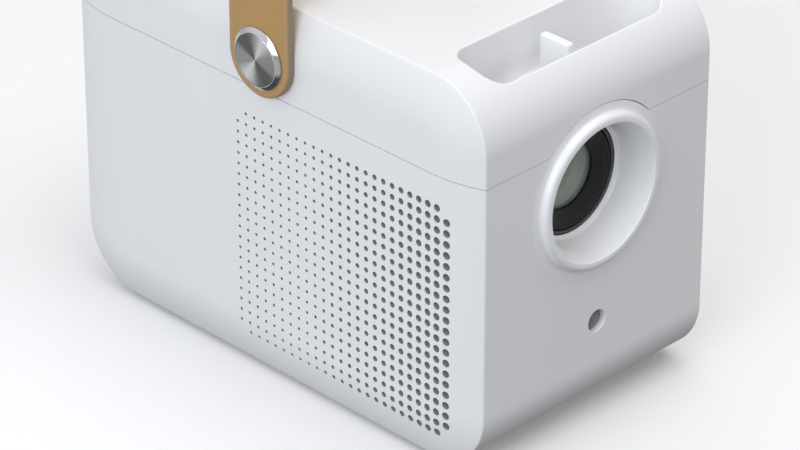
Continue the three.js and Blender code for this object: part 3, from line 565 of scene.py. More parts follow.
def finish_of(name, colour, roughness, metallic=0.0, vary=0.03, vary_scale=40.0, rough_vary=0.05,
              grain=1800.0, bump=0.15, depth=0.00003, **shader_values):
    """A moulded or worked surface: slow colour change, uneven gloss and a fine grain."""
    made, tree, shader = new_material(name)
    where = add_node(tree, "TexCoord", {})["Object"]
    slow = noise(tree, {"Vector": where, "Scale": vary_scale, "Detail": 3})
    fine = noise(tree, {"Vector": where, "Scale": grain, "Detail": 2})
    dark, light = ([min(1.0, c * (1 + change)) for c in colour] + [1] for change in (-vary, vary))
    feed(tree, shader, {
        "Metallic": metallic,
        "Base Color": mix_colours(tree, slow, dark, light),
        "Roughness": spread(tree, slow, max(LEAST_ROUGHNESS, roughness - rough_vary), roughness + rough_vary),
        "Normal": relief(tree, fine, bump, depth),
    })
    feed(tree, shader, {socket.replace("_", " "): value for socket, value in shader_values.items()})
    return made


def leather_finish():
    """Smooth tanned leather: pores, a lighter rounded bevel, and edge paint where the edge attribute is 1."""
    made = finish_of("strap_leather", (0.50, 0.30, 0.108), 0.5, vary=0.10, vary_scale=55, rough_vary=0.07,
                     grain=900, bump=0.3, depth=0.00012)
    tree = made.node_tree
    shader = tree.nodes["Principled BSDF"]
    tan, under = (shader.inputs[name].links[0].from_socket for name in ("Base Color", "Normal"))
    edge = add_node(tree, "Attribute", {}, attribute_name="edge")["Fac"]
    bevel_tinted = mix_colours(tree, grey_ramp(tree, edge, BEVEL_LIGHTENING), tan, LIGHT_BEVEL_TAN)
    where = add_node(tree, "TexCoord", {})["Object"]
    pores = add_node(tree, "TexVoronoi", {"Vector": where, "Scale": 1300})["Distance"]
    feed(tree, shader, {
        "Base Color": mix_colours(tree, edge, bevel_tinted, EDGE_PAINT),
        "Normal": relief(tree, pores, 0.25, 0.00008, Normal=under),
    })
    return made


# Painted reflection: the grey of the stud's spun face at each share of a full turn, from -x round through -z,
# +x and +z, with the bright and dark sectors of its glint painted in
PAINTED_GLINT_SECTORS = (
    (0.00, 0.46), (0.07, 0.46), (0.13, 0.88), (0.17, 1.00), (0.21, 0.80), (0.28, 0.26), (0.34, 0.14),
    (0.42, 0.17), (0.46, 0.38), (0.50, 0.40), (0.58, 0.46), (0.65, 0.86), (0.68, 0.98), (0.73, 0.60),
    (0.79, 0.24), (0.84, 0.14), (0.92, 0.17), (0.96, 0.42), (1.00, 0.46),
)


def spun_finish_with_painted_glints():
    """Metal turned on a lathe: fine rings round the stud's own axis, which the gloss is drawn out across, and a
    painted reflection, bright and dark sectors by the angle round that axis.
    """
    made, tree, shader = new_material("stud_spun")
    where = add_node(tree, "TexCoord", {})["Object"]
    centre = tuple(row((0, 0, STUD_Z)))
    from_axis = add_node(tree, "VectorMath", {0: where, 1: centre}, operation="SUBTRACT")["Vector"]
    apart = add_node(tree, "SeparateXYZ", {"Vector": from_axis})
    flat = add_node(tree, "CombineXYZ", {"X": apart["X"], "Z": apart["Z"]})["Vector"]
    far = add_node(tree, "VectorMath", {0: flat}, operation="LENGTH")["Value"]
    rings = noise(tree, {"W": far, "Scale": 4200, "Detail": 3}, noise_dimensions="1D")
    angle = add_node(tree, "Math", {0: apart["Z"], 1: apart["X"]}, operation="ARCTAN2")["Value"]
    turn = add_node(tree, "MapRange", {"Value": angle, "From Min": -math.pi, "From Max": math.pi})["Result"]
    # Painted reflection: the glint sectors of a spun face, put into the base colour by angle
    painted_glints = grey_ramp(tree, turn, PAINTED_GLINT_SECTORS)
    feed(tree, shader, {
        "Metallic": 1,
        "Anisotropic": 0.85,
        "Tangent": add_node(tree, "Tangent", {}, direction_type="RADIAL", axis="Y")["Tangent"],
        "Base Color": mix_colours(tree, 0.35, painted_glints, rings, blend_type="OVERLAY"),
        "Roughness": spread(tree, rings, 0.24, 0.36),
        "Normal": relief(tree, rings, 0.12, 0.00002),
    })
    return made


MADE = {"stud_spun": spun_finish_with_painted_glints(), "strap_leather": leather_finish()}
for finish in (
    finish_of("white_case", (0.90, 0.899, 0.898), 0.36, vary=0.012, rough_vary=0.03, bump=0.10, depth=0.00002),
    # Painted shade: the walls of the side's round holes are darker than the case, for the shade deep inside the
    # holes
    finish_of("hole_wall_painted_shade", (0.42, 0.425, 0.43), 0.6, bump=0.1),
    # Painted light: a lighter copy of the case white that brightens the lens ring with its horn, the well, its
    # floor and the focus lever in it, where too little lamp light falls; the coat is a real gloss
    finish_of("white_painted_light", (0.965, 0.964, 0.968), 0.28, vary=0.01, rough_vary=0.02, bump=0.05, depth=0.00001,
              Coat_Weight=0.5, Coat_Roughness=0.12),
    finish_of("satin_black", (0.06, 0.06, 0.062), 0.3, vary=0.1, bump=0.1, depth=0.00002),
    finish_of("rear_panel", (0.80, 0.81, 0.83), 0.5, vary=0.015, bump=0.3, depth=0.00004),
    finish_of("foot_rubber", (0.03, 0.03, 0.031), 0.85, vary=0.2, bump=0.5, depth=0.0001, grain=900),
    finish_of("zinc_steel", (0.60, 0.60, 0.61), 0.32, 1, vary=0.08, vary_scale=400, bump=0.1),
    finish_of("stud_steel", (0.74, 0.75, 0.76), 0.10, 1, vary=0.02, rough_vary=0.02, bump=0.02),
    finish_of("black_plastic", (0.014, 0.014, 0.015), 0.45, vary=0.15, bump=0.2, depth=0.00004,
              Specular_IOR_Level=0.35),
    # Painted reflection: the front glass lets only part of the light through, and its diffuse grey stands in
    # for the strong reflection off its coated face
    finish_of("lens_glass", (0.74, 0.71, 0.66), 0.03, vary=0.02, rough_vary=0.01, bump=0.0,
              Transmission_Weight=0.65, IOR=1.52, Coat_Weight=0.6, Coat_Tint=(0.75, 0.95, 0.82, 1)),
    finish_of("acrylic", (0.85, 0.88, 0.9), 0.12, grain=5000, bump=0.4),
    finish_of("lcd_glass", (0.05, 0.055, 0.07), 0.08, vary=0.2, grain=6000, bump=0.05),
    finish_of("copper", (0.72, 0.40, 0.24), 0.35, 1, vary=0.08, vary_scale=120),
    finish_of("sink_aluminium", (0.66, 0.67, 0.68), 0.42, 1, vary=0.06, grain=2600, bump=0.3),
    finish_of("ribbon_film", (0.55, 0.30, 0.08), 0.4, vary=0.12, vary_scale=300),
    finish_of("circuit_board", (0.02, 0.14, 0.06), 0.4, vary=0.35, vary_scale=260, grain=3000),
    finish_of("port_steel", (0.70, 0.71, 0.72), 0.28, 1, vary=0.05, vary_scale=200),
    finish_of("speaker_black", (0.03, 0.03, 0.03), 0.75, vary=0.2, grain=1500, bump=0.5),
    finish_of("infrared_plastic", (0.23, 0.215, 0.27), 0.2, vary=0.1, bump=0.02),
    finish_of("light_guide", (0.85, 0.9, 0.88), 0.15, vary=0.05, bump=0.02),
):
    MADE[finish.name.split(".")[0]] = finish
# A shell's looks: the case white, the hole walls with painted shade, and the lighter white with painted light
SHELL_LOOKS = ["white_case", "hole_wall_painted_shade", "white_painted_light"]

# The CAD's own solids take the finish of the same name
for cad_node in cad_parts.values():
    for index, old in enumerate(list(cad_node.data.materials)):
        plain = old.name.split(".")[0] if old else ""
        if plain in MADE:
            cad_node.data.materials[index] = MADE[plain]

# ---------------------------------------------------------------- case shells


def half_of(upper):
    """A half's sign, the heights of its seam and its corners' centres, and the straight height between."""
    sign = 1 if upper else -1
    seam = SEAM + sign * GAP / 2
    edge = TOP - CORNER if upper else BASE + CORNER
    return sign, seam, edge, abs(edge - seam)


def half_outline(upper):
    """The case outline from the front seam to the rear seam, as points and outward normals in (x, z)."""
    sign, seam, edge, straight = half_of(upper)
    count = max(2, int(straight // STRAIGHT_STEP))
    base = [(HALF_LENGTH, seam + (edge - seam) * k / count) for k in range(count)]
    normal = [(1, 0)] * count
    for k in range(ARC_STEPS):
        a = math.pi / 2 * k / ARC_STEPS
        normal.append((math.cos(a), sign * math.sin(a)))
        base.append((INNER + CORNER * math.cos(a), edge + sign * CORNER * math.sin(a)))
    rear_base, rear_normal = (np.array(front)[::-1] * (-1, 1) for front in (base, normal))
    base += [(INNER - 2 * INNER * k / ACROSS_STEPS, TOP if upper else BASE) for k in range(ACROSS_STEPS + 1)]
    normal += [(0, sign)] * (ACROSS_STEPS + 1)
    return np.concatenate([base, rear_base]), np.concatenate([normal, rear_normal])


def depth_in_side(x, z):
    """How far a point of the side lies inside the case outline, and the (x, z) way in which that grows."""
    qx = np.abs(x) - INNER
    qz = np.abs(z - MIDDLE) - ((TOP - BASE) / 2 - CORNER)
    both = (qx > 0) & (qz > 0)
    far = np.maximum(np.hypot(qx, qz), 1e-9)
    gx = np.where(both, qx / far, qx > qz) * np.sign(x)
    gz = np.where(both, qz / far, qx <= qz) * np.sign(z - MIDDLE)
    return CORNER - np.where(both, np.hypot(qx, qz), np.maximum(qx, qz)), -gx, -gz


def side_height(t):
    """Half width of the case at a depth inside its outline."""
    return HALF_WIDTH - EDGE_INSET * np.clip(1 - t / PILLOW_SPAN, 0, 1) ** 2


def edge_curve():
    """The small rounding of the crisp edge: (depth, half width, normal out, normal across)."""
    start = np.array([0.0, side_height(0.0) - EDGE_ROUND])
    corner = np.array([0.0, side_height(0.0)])
    end = np.array([EDGE_ROUND, side_height(EDGE_ROUND)])
    line = []
    for u in np.arange(6) / 5:
        p = start * (1 - u) ** 2 + corner * 2 * u * (1 - u) + end * u * u
        d = (corner - start) * 2 * (1 - u) + (end - corner) * 2 * u
        d /= np.linalg.norm(d)
        line.append((*p, d[1], d[0]))
    return line


def inward(t):
    """Depth of the inner wall behind an outer point, so that the wall keeps its thickness at the edge."""
    return t + WALL * np.clip(1 - t / INWARD_SPAN, 0, 1)


def hole_diameter(column):
    share = max(0, column - HOLE_SMALL_COLUMNS) / (HOLE_COLUMNS - 1 - HOLE_SMALL_COLUMNS)
    return HOLE_SMALL + (HOLE_LARGE - HOLE_SMALL) * share


def side_holes():
    """Outlines of the round holes of one side, in (x, z). The grid's four corners have none."""
    loops = []
    for column in range(HOLE_COLUMNS):
        for line in range(HOLE_ROWS):
            if column in (0, HOLE_COLUMNS - 1) and line in (0, HOLE_ROWS - 1):
                continue
            centre = (FIRST_COLUMN_X + column * HOLE_PITCH, TOP_ROW_Z - line * HOLE_PITCH)
            radius = hole_diameter(column) / 2
            loops.append(circle(centre, radius, 16 if radius < 0.9 else 22))
    return loops


def side_face(sheet, upper, base, normal, small_holes, holes):
    """Both pillow sides of a half of the case, from the rounded edge inwards."""
    _, seam, *_ = half_of(upper)
    rim = base - normal * EDGE_ROUND
    steps = 40
    seam_line = [rim[-1] + (rim[0] - rim[-1]) * k / steps for k in range(1, steps)]
    extra = []
    for t in SIDE_DEPTHS:
        for x, z in base - normal * t:
            past_seam = (z < seam + SEAM_CLEAR) if upper else (z > seam - SEAM_CLEAR)
            if not in_grid(x, z, HOLE_PITCH / 2 + HOLE_CLEAR) and not past_seam:
                extra.append((x, z))
    flat, triangles = triangulate(np.concatenate([rim, seam_line]), holes, extra, small_holes)
    x, z = flat.T
    t, gx, gz = depth_in_side(x, z)
    slope = 2 * EDGE_INSET / PILLOW_SPAN * np.clip(1 - t / PILLOW_SPAN, 0, 1)
    behind = inward(t) - t
    for side in (-1, 1):
        points = np.stack([x, side * side_height(t), z], 1)
        normals = np.stack([-gx * slope, np.full_like(x, side), -gz * slope], 1)
        normals /= np.linalg.norm(normals, axis=1)[:, None]
        partners = np.stack([x + gx * behind, side * (side_height(t) - WALL), z + gz * behind], 1)
        sheet.add(points, partners, normals, triangles)


def edge_strips(sheet, base, normal):
    """The rounded edge between the band and each side."""
    (x, z), (nx, nz) = base.T, normal.T
    for side in (-1, 1):
        across_all = np.full(len(x), float(side))
        levels = []
        for t, y, out, across in edge_curve():
            deep = inward(t)
            inner_y = side_height(EDGE_ROUND if t > 0 else 0.0) - WALL
            levels.append((
                np.stack([x - nx * t, across_all * y, z - nz * t], 1),
                np.stack([x - nx * deep, across_all * inner_y, z - nz * deep], 1),
                np.stack([nx * out, across_all * across, nz * out], 1),
            ))
        sheet.strip(levels, closed=False)


def run_of(x):
    """Distance along the upper outline from the front seam, for a place on the front or the top."""
    *_, straight = half_of(True)
    lean = np.arcsin(np.clip((x - INNER) / CORNER, 0, 1))
    return np.where(x > INNER, straight + (math.pi / 2 - lean) * CORNER, straight + QUARTER + INNER - x)


def band_place(upper, run):
    """Point and outward normal in (x, z) at a distance along the true outline."""
    sign, seam, edge, straight = half_of(upper)
    total = 2 * (straight + QUARTER + INNER)
    mirrored = run > total / 2
    s = np.where(mirrored, total - run, run)
    angle = np.clip((s - straight) / CORNER, 0, math.pi / 2)
    along_top = np.clip(s - straight - QUARTER, 0, None)
    on_front = s <= straight
    x = np.where(on_front, HALF_LENGTH, INNER + CORNER * np.cos(angle) - along_top)
    z = np.where(on_front, seam + sign * s, edge + sign * CORNER * np.sin(angle))
    nx = np.where(on_front, 1.0, np.cos(angle))
    nz = np.where(on_front, 0.0, sign * np.sin(angle))
    nx = np.where(np.abs(nx) < 1e-12, 0.0, nx)
    flip = np.where(mirrored, -1.0, 1.0)
    return x * flip, z, nx * flip, nz


def true_run(upper):
    """Distances along the true outline of the outline's own points."""
    *_, straight = half_of(upper)
    count = max(2, int(straight // STRAIGHT_STEP))
    runs = [straight * k / count for k in range(count)]
    runs += [straight + QUARTER * k / ARC_STEPS for k in range(ARC_STEPS)]
    rear = [2 * (straight + QUARTER + INNER) - r for r in reversed(runs)]
    runs += [straight + QUARTER + 2 * INNER * k / ACROSS_STEPS for k in range(ACROSS_STEPS + 1)]
    return np.array(runs + rear)


def band(sheet, upper, notch, edge_y, holes, partner_of=None):
    """The front, top or base, and rear of a half, as one bent strip with its openings cut out."""
    runs = true_run(upper)
    reach = side_height(0.0) - EDGE_ROUND
    from_right = [(0.0, reach + (edge_y - reach) * k / 8) for k in range(1, 8)]
    to_left = [(0.0, -edge_y + (edge_y - reach) * k / 8) for k in range(1, 8)]
    front = np.array(from_right + notch + to_left)
    low, high = ([(r, y) for r in order] for order, y in ((runs, -reach), (runs[::-1], reach)))
    rear = [(runs[-1], -reach + 2 * reach * k / 24) for k in range(1, 24)]
    extra = []
    for r in runs[1:-1]:
        for y in np.linspace(-reach, reach, 25)[1:-1]:
            here = np.array([r, y])
            blocked = any(
                (h.min(axis=0) - OPENING_CLEAR < here).all() and (here < h.max(axis=0) + OPENING_CLEAR).all()
                and (inside_loop(here[None], h)[0] or np.hypot(*(h - here).T).min() < OPENING_CLEAR)
                for h in holes
            )
            if not blocked and np.hypot(*(front - here).T).min() >= SEAM_CLEAR:
                extra.append((r, y))
    flat, triangles = triangulate(np.concatenate([low, rear, high, front]), holes, extra)
    x, z, nx, nz = band_place(upper, flat[:, 0])
    y = flat[:, 1]
    points = np.stack([x, y, z], 1)
    inner_y = np.where(np.abs(y) > reach - 1e-6, np.sign(y) * (side_height(0.0) - WALL), y)
    partners = np.stack([x - nx * WALL, inner_y, z - nz * WALL], 1)
    if partner_of:
        partners = partner_of(points, partners)
    sheet.add(points, partners, np.stack([nx, np.zeros_like(nx), nz], 1), triangles)


# The lens ring, from the front face round the lip and down the horn: (radius, place from the front face)
RING_FRONT = (
    (32.4, 0.0), (30.8, 0.0), (29.9, 0.05), (29.25, 0.25), (28.9, 0.7), (28.7, 1.4), (28.4, 2.05),
    (27.85, 2.55), (27.2, 2.76), (26.7, 2.8),
)
LIP_INNER = ((26.0, 2.8), (25.65, 2.74), (25.4, 2.45))
HORN = ((25.3, 2.1), (23.9, -3.6), (22.4, -9.8), (22.1, -10.7), (21.6, -11.4), (20.8, -11.9))


def ring_profile():
    """Front side of the ring with the partner of each point behind it."""
    front = smooth_curve(RING_FRONT, 4)
    lip = smooth_curve(LIP_INNER, 4)
    horn = smooth_curve(HORN, 5)
    line = np.concatenate([front, lip, horn])
    behind = []
    for radius, place in line:
        if radius > 32.39:
            behind.append((RING_RADIUS, -WALL))
        elif place > -WALL:
            share = (RING_RADIUS - radius) / (RING_RADIUS - 24.0)
            behind.append((RING_RADIUS - 4.8 * min(1.0, share), -WALL))
        else:
            behind.append((radius + 3.0 + 0.8 * (place + WALL) / 9.1, place - 0.9))
    return line, np.array(behind)


def ring_angles():
    """Angles round the lens axis, from +y towards +z, with the two seam crossings among them."""
    cross = math.asin((SEAM - GAP / 2 - LENS_Z) / RING_RADIUS)
    step = 2 * math.pi / RING_STEPS
    marks = np.array([cross, math.pi - cross])
    keep = [a for a in np.arange(RING_STEPS) * step if np.abs(marks - a).min() > step * 0.4]
    return np.sort(np.concatenate([keep, marks])), cross


def turned_row(angles, radius, place):
    across, up = radius * np.cos(angles), LENS_Z + radius * np.sin(angles)
    return np.stack([np.full(len(angles), HALF_LENGTH + place), across, up], 1)


def add_ring(sheet):
    angles, _ = ring_angles()
    line, behind = ring_profile()
    levels = []
    for k, (tangent, here, back) in enumerate(zip(np.gradient(line, axis=0), line, behind)):
        dr, dx = tangent / np.linalg.norm(tangent) if k else (-1.0, 0.0)
        normals = np.stack([np.full(len(angles), -dr), dx * np.cos(angles), dx * np.sin(angles)], 1)
        levels.append((turned_row(angles, *here), turned_row(angles, *back), normals))
    # The ring and its horn take the lighter white with painted light
    sheet.strip(levels, closed=True, look=2)


def add_eye(sheet):
    """The eased rim of the infra-red hole."""
    below, dy = circle((0.0, 0.0), 1.0, EYE_STEPS).T
    dz = -below
    flat = np.ones(EYE_STEPS)
    levels = []
    for radius, place, out in EYE_RIM:
        ring, back = (
            np.stack([flat * (HALF_LENGTH + x), IR_Y + dy * r, IR_Z + dz * r], 1)
            for x, r in ((place, IR_RADIUS + radius), (-WALL, IR_RADIUS))
        )
        lean = math.sqrt(1 - out * out)
        levels.append((ring, back, np.stack([flat * out, -dy * lean, -dz * lean], 1)))
    sheet.strip(levels, closed=True)


def lower_shell():
    sheet = Sheet()
    base, normal = half_outline(False)
    _, seam, _, straight = half_of(False)
    angles, cross = ring_angles()
    right, left = angles[angles <= cross + 1e-9], angles[angles >= math.pi - cross - 1e-9]
    arc = sorted([*right, *(left - 2 * math.pi)], reverse=True)
    notch = [(seam - (LENS_Z + RING_RADIUS * math.sin(a)), RING_RADIUS * math.cos(a)) for a in arc]
    holes = [circle((seam - IR_Z, IR_Y), IR_RADIUS + EYE_RIM[0][0], EYE_STEPS)]
    half_run = straight + QUARTER + INNER
    x, y, radius = SCREW_HOLES
    holes += [circle((half_run - sx * x, sy * y), radius, 24) for sx in (-1, 1) for sy in (-1, 1)]
    (low, high), half = PANEL_HEIGHTS, PANEL_HALF
    near, far = (2 * half_run - (seam - z) for z in (high, low))
    corners = np.array([(near, -half), (near, half), (far, half), (far, -half)])
    sides = zip(corners, np.roll(corners, -1, 0))
    holes.append(np.array([a + (b - a) * j / 16 for a, b in sides for j in range(16)]))
    band(sheet, False, notch, RING_RADIUS * math.cos(cross), holes)
    edge_strips(sheet, base, normal)
    side_face(sheet, False, base, normal, side_holes(), [])
    add_ring(sheet)
    add_eye(sheet)
    make_shell("case_lower", sheet, SHELL_LOOKS, ("lower_housing", "lens_ring"))


def well_floor(y):
    """Height of the well's floor across it: flat, with the round hump over the focus ring."""
    hump = LENS_Z + np.sqrt(np.clip(HUMP_RADIUS**2 - y**2, 0, None))
    return np.maximum(WELL_FLOOR, hump)


def top_height(x):
    """Height of the case's top surface along its length."""
    over = np.clip(np.abs(x) - (HALF_LENGTH - CORNER), 0, CORNER)
    return TOP - CORNER + np.sqrt(CORNER**2 - over**2)


def well_loop(grow):
    """The well's outline grown outwards, always with the same number of points, and its outward normals."""
    rel = rounded_rectangle(WELL_CENTRE, WELL_HALF, WELL_CORNER, 12, 2.6) - WELL_CENTRE
    inner = np.array(WELL_HALF) - WELL_CORNER
    out = rel - np.clip(rel, -inner, inner)
    out /= np.linalg.norm(out, axis=1)[:, None]
    return rel + WELL_CENTRE + out * grow, out


def add_well(sheet, rim, mouth_back):
    """The well's eased rim and its walls down to the floor."""
    wall, out = well_loop(0.0)
    zero = np.zeros(len(rim))

    def level(loop, down=0.0):
        return np.stack([*loop.T, top_height(loop[:, 0]) - down], 1)

    start, corner, end, back = level(rim), level(wall), level(wall, RIM_ROUND), level(mouth_back, WALL)
    lean = np.clip((rim[:, 0] - INNER) / CORNER, 0, 1)
    start_normal = np.stack([lean, zero, np.sqrt(1 - lean**2)], 1)
    end_normal = np.stack([*-out.T, zero], 1)
    levels = []
    for u in np.arange(6) / 5:
        points = start * (1 - u) ** 2 + corner * 2 * u * (1 - u) + end * u * u
        normals = start_normal * (1 - u) + end_normal * u
        levels.append((points, back, normals / np.linalg.norm(normals, axis=1)[:, None]))
    floor = well_floor(wall[:, 1])
    low, low_back = np.stack([*wall.T, floor], 1), np.stack([*mouth_back.T, floor - WELL_WALL], 1)
    for u in np.arange(1, 7) / 6:
        levels.append((end * (1 - u) + low * u, back * (1 - u) + low_back * u, end_normal))
    # The well's rim and walls take the lighter white with painted light
    sheet.strip(levels, closed=True, look=2)
    return wall


def add_well_floor(wall):
    """The floor, with its hump over the focus ring and the slot that the lever comes through."""
    half_x, half_y = LEVER_SLOT
    slot = rounded_rectangle((LEVER_X, 0.0), LEVER_SLOT, 1.5, 4, 2.0)
    inner = well_loop(-SEAM_CLEAR)[0]
    extra = [
        (x, y)
        for x in np.linspace(WELL_CENTRE[0] - 9, WELL_CENTRE[0] + 9, 7)
        for y in np.linspace(-42, 42, 57)
        if not (abs(x - LEVER_X) < half_x + HOLE_CLEAR and abs(y) < half_y + HOLE_CLEAR)
        and inside_loop(np.array([(x, y)]), inner)[0]
    ]
    flat, triangles = triangulate(wall, [slot], extra)
    y, z = flat[:, 1], well_floor(flat[:, 1])
    on_hump = z > WELL_FLOOR
    ny, nz = np.where(on_hump, (y, z - LENS_Z), np.array([[0.0], [HUMP_RADIUS]])) / HUMP_RADIUS
    points = np.stack([*flat.T, z], 1)
    sheet = Sheet()
    sheet.add(points, points - (0, 0, FLOOR_THICKNESS), np.stack([np.zeros(len(flat)), ny, nz], 1), triangles)
    # The well's floor takes the lighter white with painted light
    make_shell("well_floor", sheet, ["white_painted_light"], ("focus_well",))


def upper_shell():
    sheet = Sheet()
    base, normal = half_outline(True)
    _, seam, *_ = half_of(True)
    notch_radius = RING_RADIUS + GAP
    cross = math.asin((seam - LENS_Z) / notch_radius)
    arc = np.linspace(cross, math.pi - cross, 61)
    notch = [(LENS_Z + notch_radius * math.sin(a) - seam, notch_radius * math.cos(a)) for a in arc]
    rim, mouth_back = well_loop(RIM_ROUND)[0], well_loop(WELL_WALL)[0]
    holes = [np.stack([run_of(rim[:, 0]), rim[:, 1]], 1)]
    keys_at = [(PAD_X, 0.0, PAD_RADII[1], 96), *((*key[1:], 40) for key in SIDE_KEYS), (*STATUS_LIGHT, 40)]
    holes += [circle((float(run_of(x)), y), radius + GAP, steps) for x, y, radius, steps in keys_at]

    def behind(points, partners):
        """Behind the well's rim the inner wall stops at the tub's outside."""
        for (x, y), (bx, by) in zip(rim, mouth_back):
            hit = np.abs(points[:, 0] - x) + np.abs(points[:, 1] - y) < 1e-3
            partners[hit] = (bx, by, top_height(bx) - WALL)
        return partners

    band(sheet, True, notch, notch_radius * math.cos(cross), holes, behind)
    edge_strips(sheet, base, normal)
    side_face(sheet, True, base, normal, [], [circle((0.0, STUD_Z), STUD_HOLE, 24)])
    add_well_floor(add_well(sheet, rim, mouth_back))
    make_shell("case_upper", sheet, SHELL_LOOKS, ("top_cover",))


lower_shell()
upper_shell()

# ---------------------------------------------------------------- lens and focus lever

LENS_CENTRE = (0.0, 0.0, LENS_Z)


def lens_pieces():
    """Sleeve and cell with its retainer and front glass, each turned about the lens axis."""
    turns = np.linspace(math.pi / 2, 0, 17)
    bulge = [(14 * math.sin(t), 86.2 - 2.9 * (1 - math.cos(t))) for t in turns]
    sleeve = [
        (19.5, 52.6), (29, 52.6, 0.3), (29, 55.3, 0.3), (22.6, 55.3), (22.6, 85.9, 0.2), (20.4, 85.9),
        (20.4, 88.6, 0.25), (19.3, 88.6, 0.2), (19.3, 87.4), (19.5, 87.4),
    ]
    cell = [
        (12.6, 57), (19.2, 57), (19.2, 87.8, 0.15), (18.6, 88.3, 0.2), (17.6, 88.2, 0.1), (17.6, 84.3),
        (14.3, 84.3), (14.3, 75.7), (12.6, 75.7),
    ]
    retainer = [(12.6, 84.6), (17.5, 84.6), (17.5, 88.1, 0.1), (16.9, 88.1, 0.3), (12.6, 85.6, 0.1)]
    glass = [(0.0, 77.0), (13.6, 77.0), (14.0, 77.4), *bulge]
    for name, profile, body, slot, look, sharp, node in (
        ("sleeve", sleeve, "housing", "black_plastic", "satin_black", 32, "lens_sleeve"),
        ("cell", cell, "lens_cell", "black_plastic", "black_plastic", 40, "lens_cell"),
        ("retainer", retainer, "lens_cell", "black_plastic", "black_plastic", 32, "lens_retainer"),
        ("front_glass", glass, "lens_cell", "lens_glass", "lens_glass", 32, "front_lens"),
    ):
        shape = turned(rounded_profile(profile), "x", LENS_CENTRE, 96 if profile is glass else 128)
        make_object(name, shape, body, [look], sharp, (node,))


def focus_lever():
    """Focus ring with its stem and tab."""
    ring = rounded_profile([(23, 66), (27.5, 66, 0.4), (27.5, 85.3, 0.4), (23, 85.3), (23, 82.4), (25.6, 82.4),
                            (25.6, 69.6), (23, 69.6)])
    tab = rounded_rectangle((LEVER_X, 0.0), (6.5, 1.7), 0.9, 6, 3.0)
    stem = rounded_rectangle((LEVER_X, 0.0), (3.5, 1.7), 0.5, 3, 3.0)
    shape = join(
        turned(ring, "x", LENS_CENTRE),
        slab(tab, LENS_Z + 37.6, LENS_Z + 50.4, 0.55),
        slab(stem, LENS_Z + 26.8, LENS_Z + 38.4, 0.1),
    )
    # The focus lever takes the lighter white with painted light
    make_object("focus_lever", shape, "focus_ring", ["white_painted_light"], replaces=("focus_ring",))


lens_pieces()
focus_lever()

# ---------------------------------------------------------------- strap and studs


def strap_path():
    """The strap's middle line from one stud over the top to the other, evenly spaced, in (y, z)."""
    half_span = HALF_WIDTH + GAP + STRAP_THICKNESS / 2
    line = [(half_span, STUD_Z), (half_span, (STUD_Z + STRAP_LEG_TOP) / 2)]
    for k in range(61):
        a = math.pi / 2 * k / 60
        y = half_span * max(0.0, math.cos(a)) ** (2 / STRAP_ROUNDNESS)
        z = STRAP_LEG_TOP + STRAP_RISE * math.sin(a) ** (2 / STRAP_ROUNDNESS)
        line.append((y, z))
    line = np.array(line)
    full = np.concatenate([line, line[:-1][::-1] * (-1, 1)])
    run = np.concatenate([[0], np.cumsum(np.hypot(*np.diff(full, axis=0).T))])
    even = np.linspace(0, run[-1], 181)
    path = np.stack([np.interp(even, run, full[:, 0]), np.interp(even, run, full[:, 1])], 1)
    for _ in range(3):
        path[1:-1] = (path[:-2] + 2 * path[1:-1] + path[2:]) / 4
    return even, path


def strap():
    even, path = strap_path()
    tangent = np.gradient(path, even, axis=0)
    tangent /= np.linalg.norm(tangent, axis=1)[:, None]
    length = even[-1]

    def place(x, u, h):
        """A point of the flat band (x across, u along, h out of its face) on the strap's path."""
        inside = np.clip(u, 0, length)
        y, z = (np.interp(inside, even, line) for line in path.T)
        ty, tz = (np.interp(inside, even, line) for line in tangent.T)
        size = np.hypot(ty, tz)
        ty, tz = ty / size, tz / size
        over = u - inside
        return np.stack([x, y + ty * over + tz * h, z + tz * over - ty * h], 1)

    half = STRAP_THICKNESS / 2
    # Across the band from the middle of its inner face round the edge: inset, height, share of edge paint
    section = [
        (STRAP_HALF_WIDTH, -half, 0.0), (9.0, -half, 0.0), (4.0, -half, 0.0), (1.3, -half, 0.0),
        (0.6, -half + 0.06, 0.4), (0.18, -half + 0.3, 0.9), (0.0, -half + 0.7, 1.0), (-0.02, 0.0, 1.0),
        (0.0, half - 0.85, 1.0), (0.14, half - 0.45, 0.85), (0.45, half - 0.16, 0.5), (0.95, half - 0.03, 0.2),
        (1.7, half, 0.05), (3.0, half, 0.0), (6.0, half, 0.0), (10.0, half, 0.0), (STRAP_HALF_WIDTH, half, 0.0),
    ]
    turn = math.pi * np.arange(29) / 28
    straight = even[1:-1]
    points, paint = [], []
    for inset, h, share in section:
        radius = STRAP_HALF_WIDTH - inset
        across, beyond = radius * np.cos(turn), radius * np.sin(turn)
        side = np.full(len(straight), radius)
        u = np.concatenate([-beyond, straight, length + beyond, straight[::-1]])
        points.append(place(np.concatenate([across, -side, -across, side]), u, h))
        paint.append(np.full(len(u), share))
    faces = quads(len(section), len(u))
    points, paint = np.concatenate(points), np.concatenate(paint)
    first, back = weld(points, 2000)
    rings = (distinct([int(back[i]) for i in face]) for face in faces)
    shape = outward(points[first], [tuple(ring) for ring in rings if len(ring) >= 3])
    made = make_object("leather_strap", shape, "strap", ["strap_leather"], 60, ("strap",))
    attribute = made.data.attributes.new("edge", "FLOAT", "POINT")
    attribute.data.foreach_set("value", paint[first].astype(np.float32))


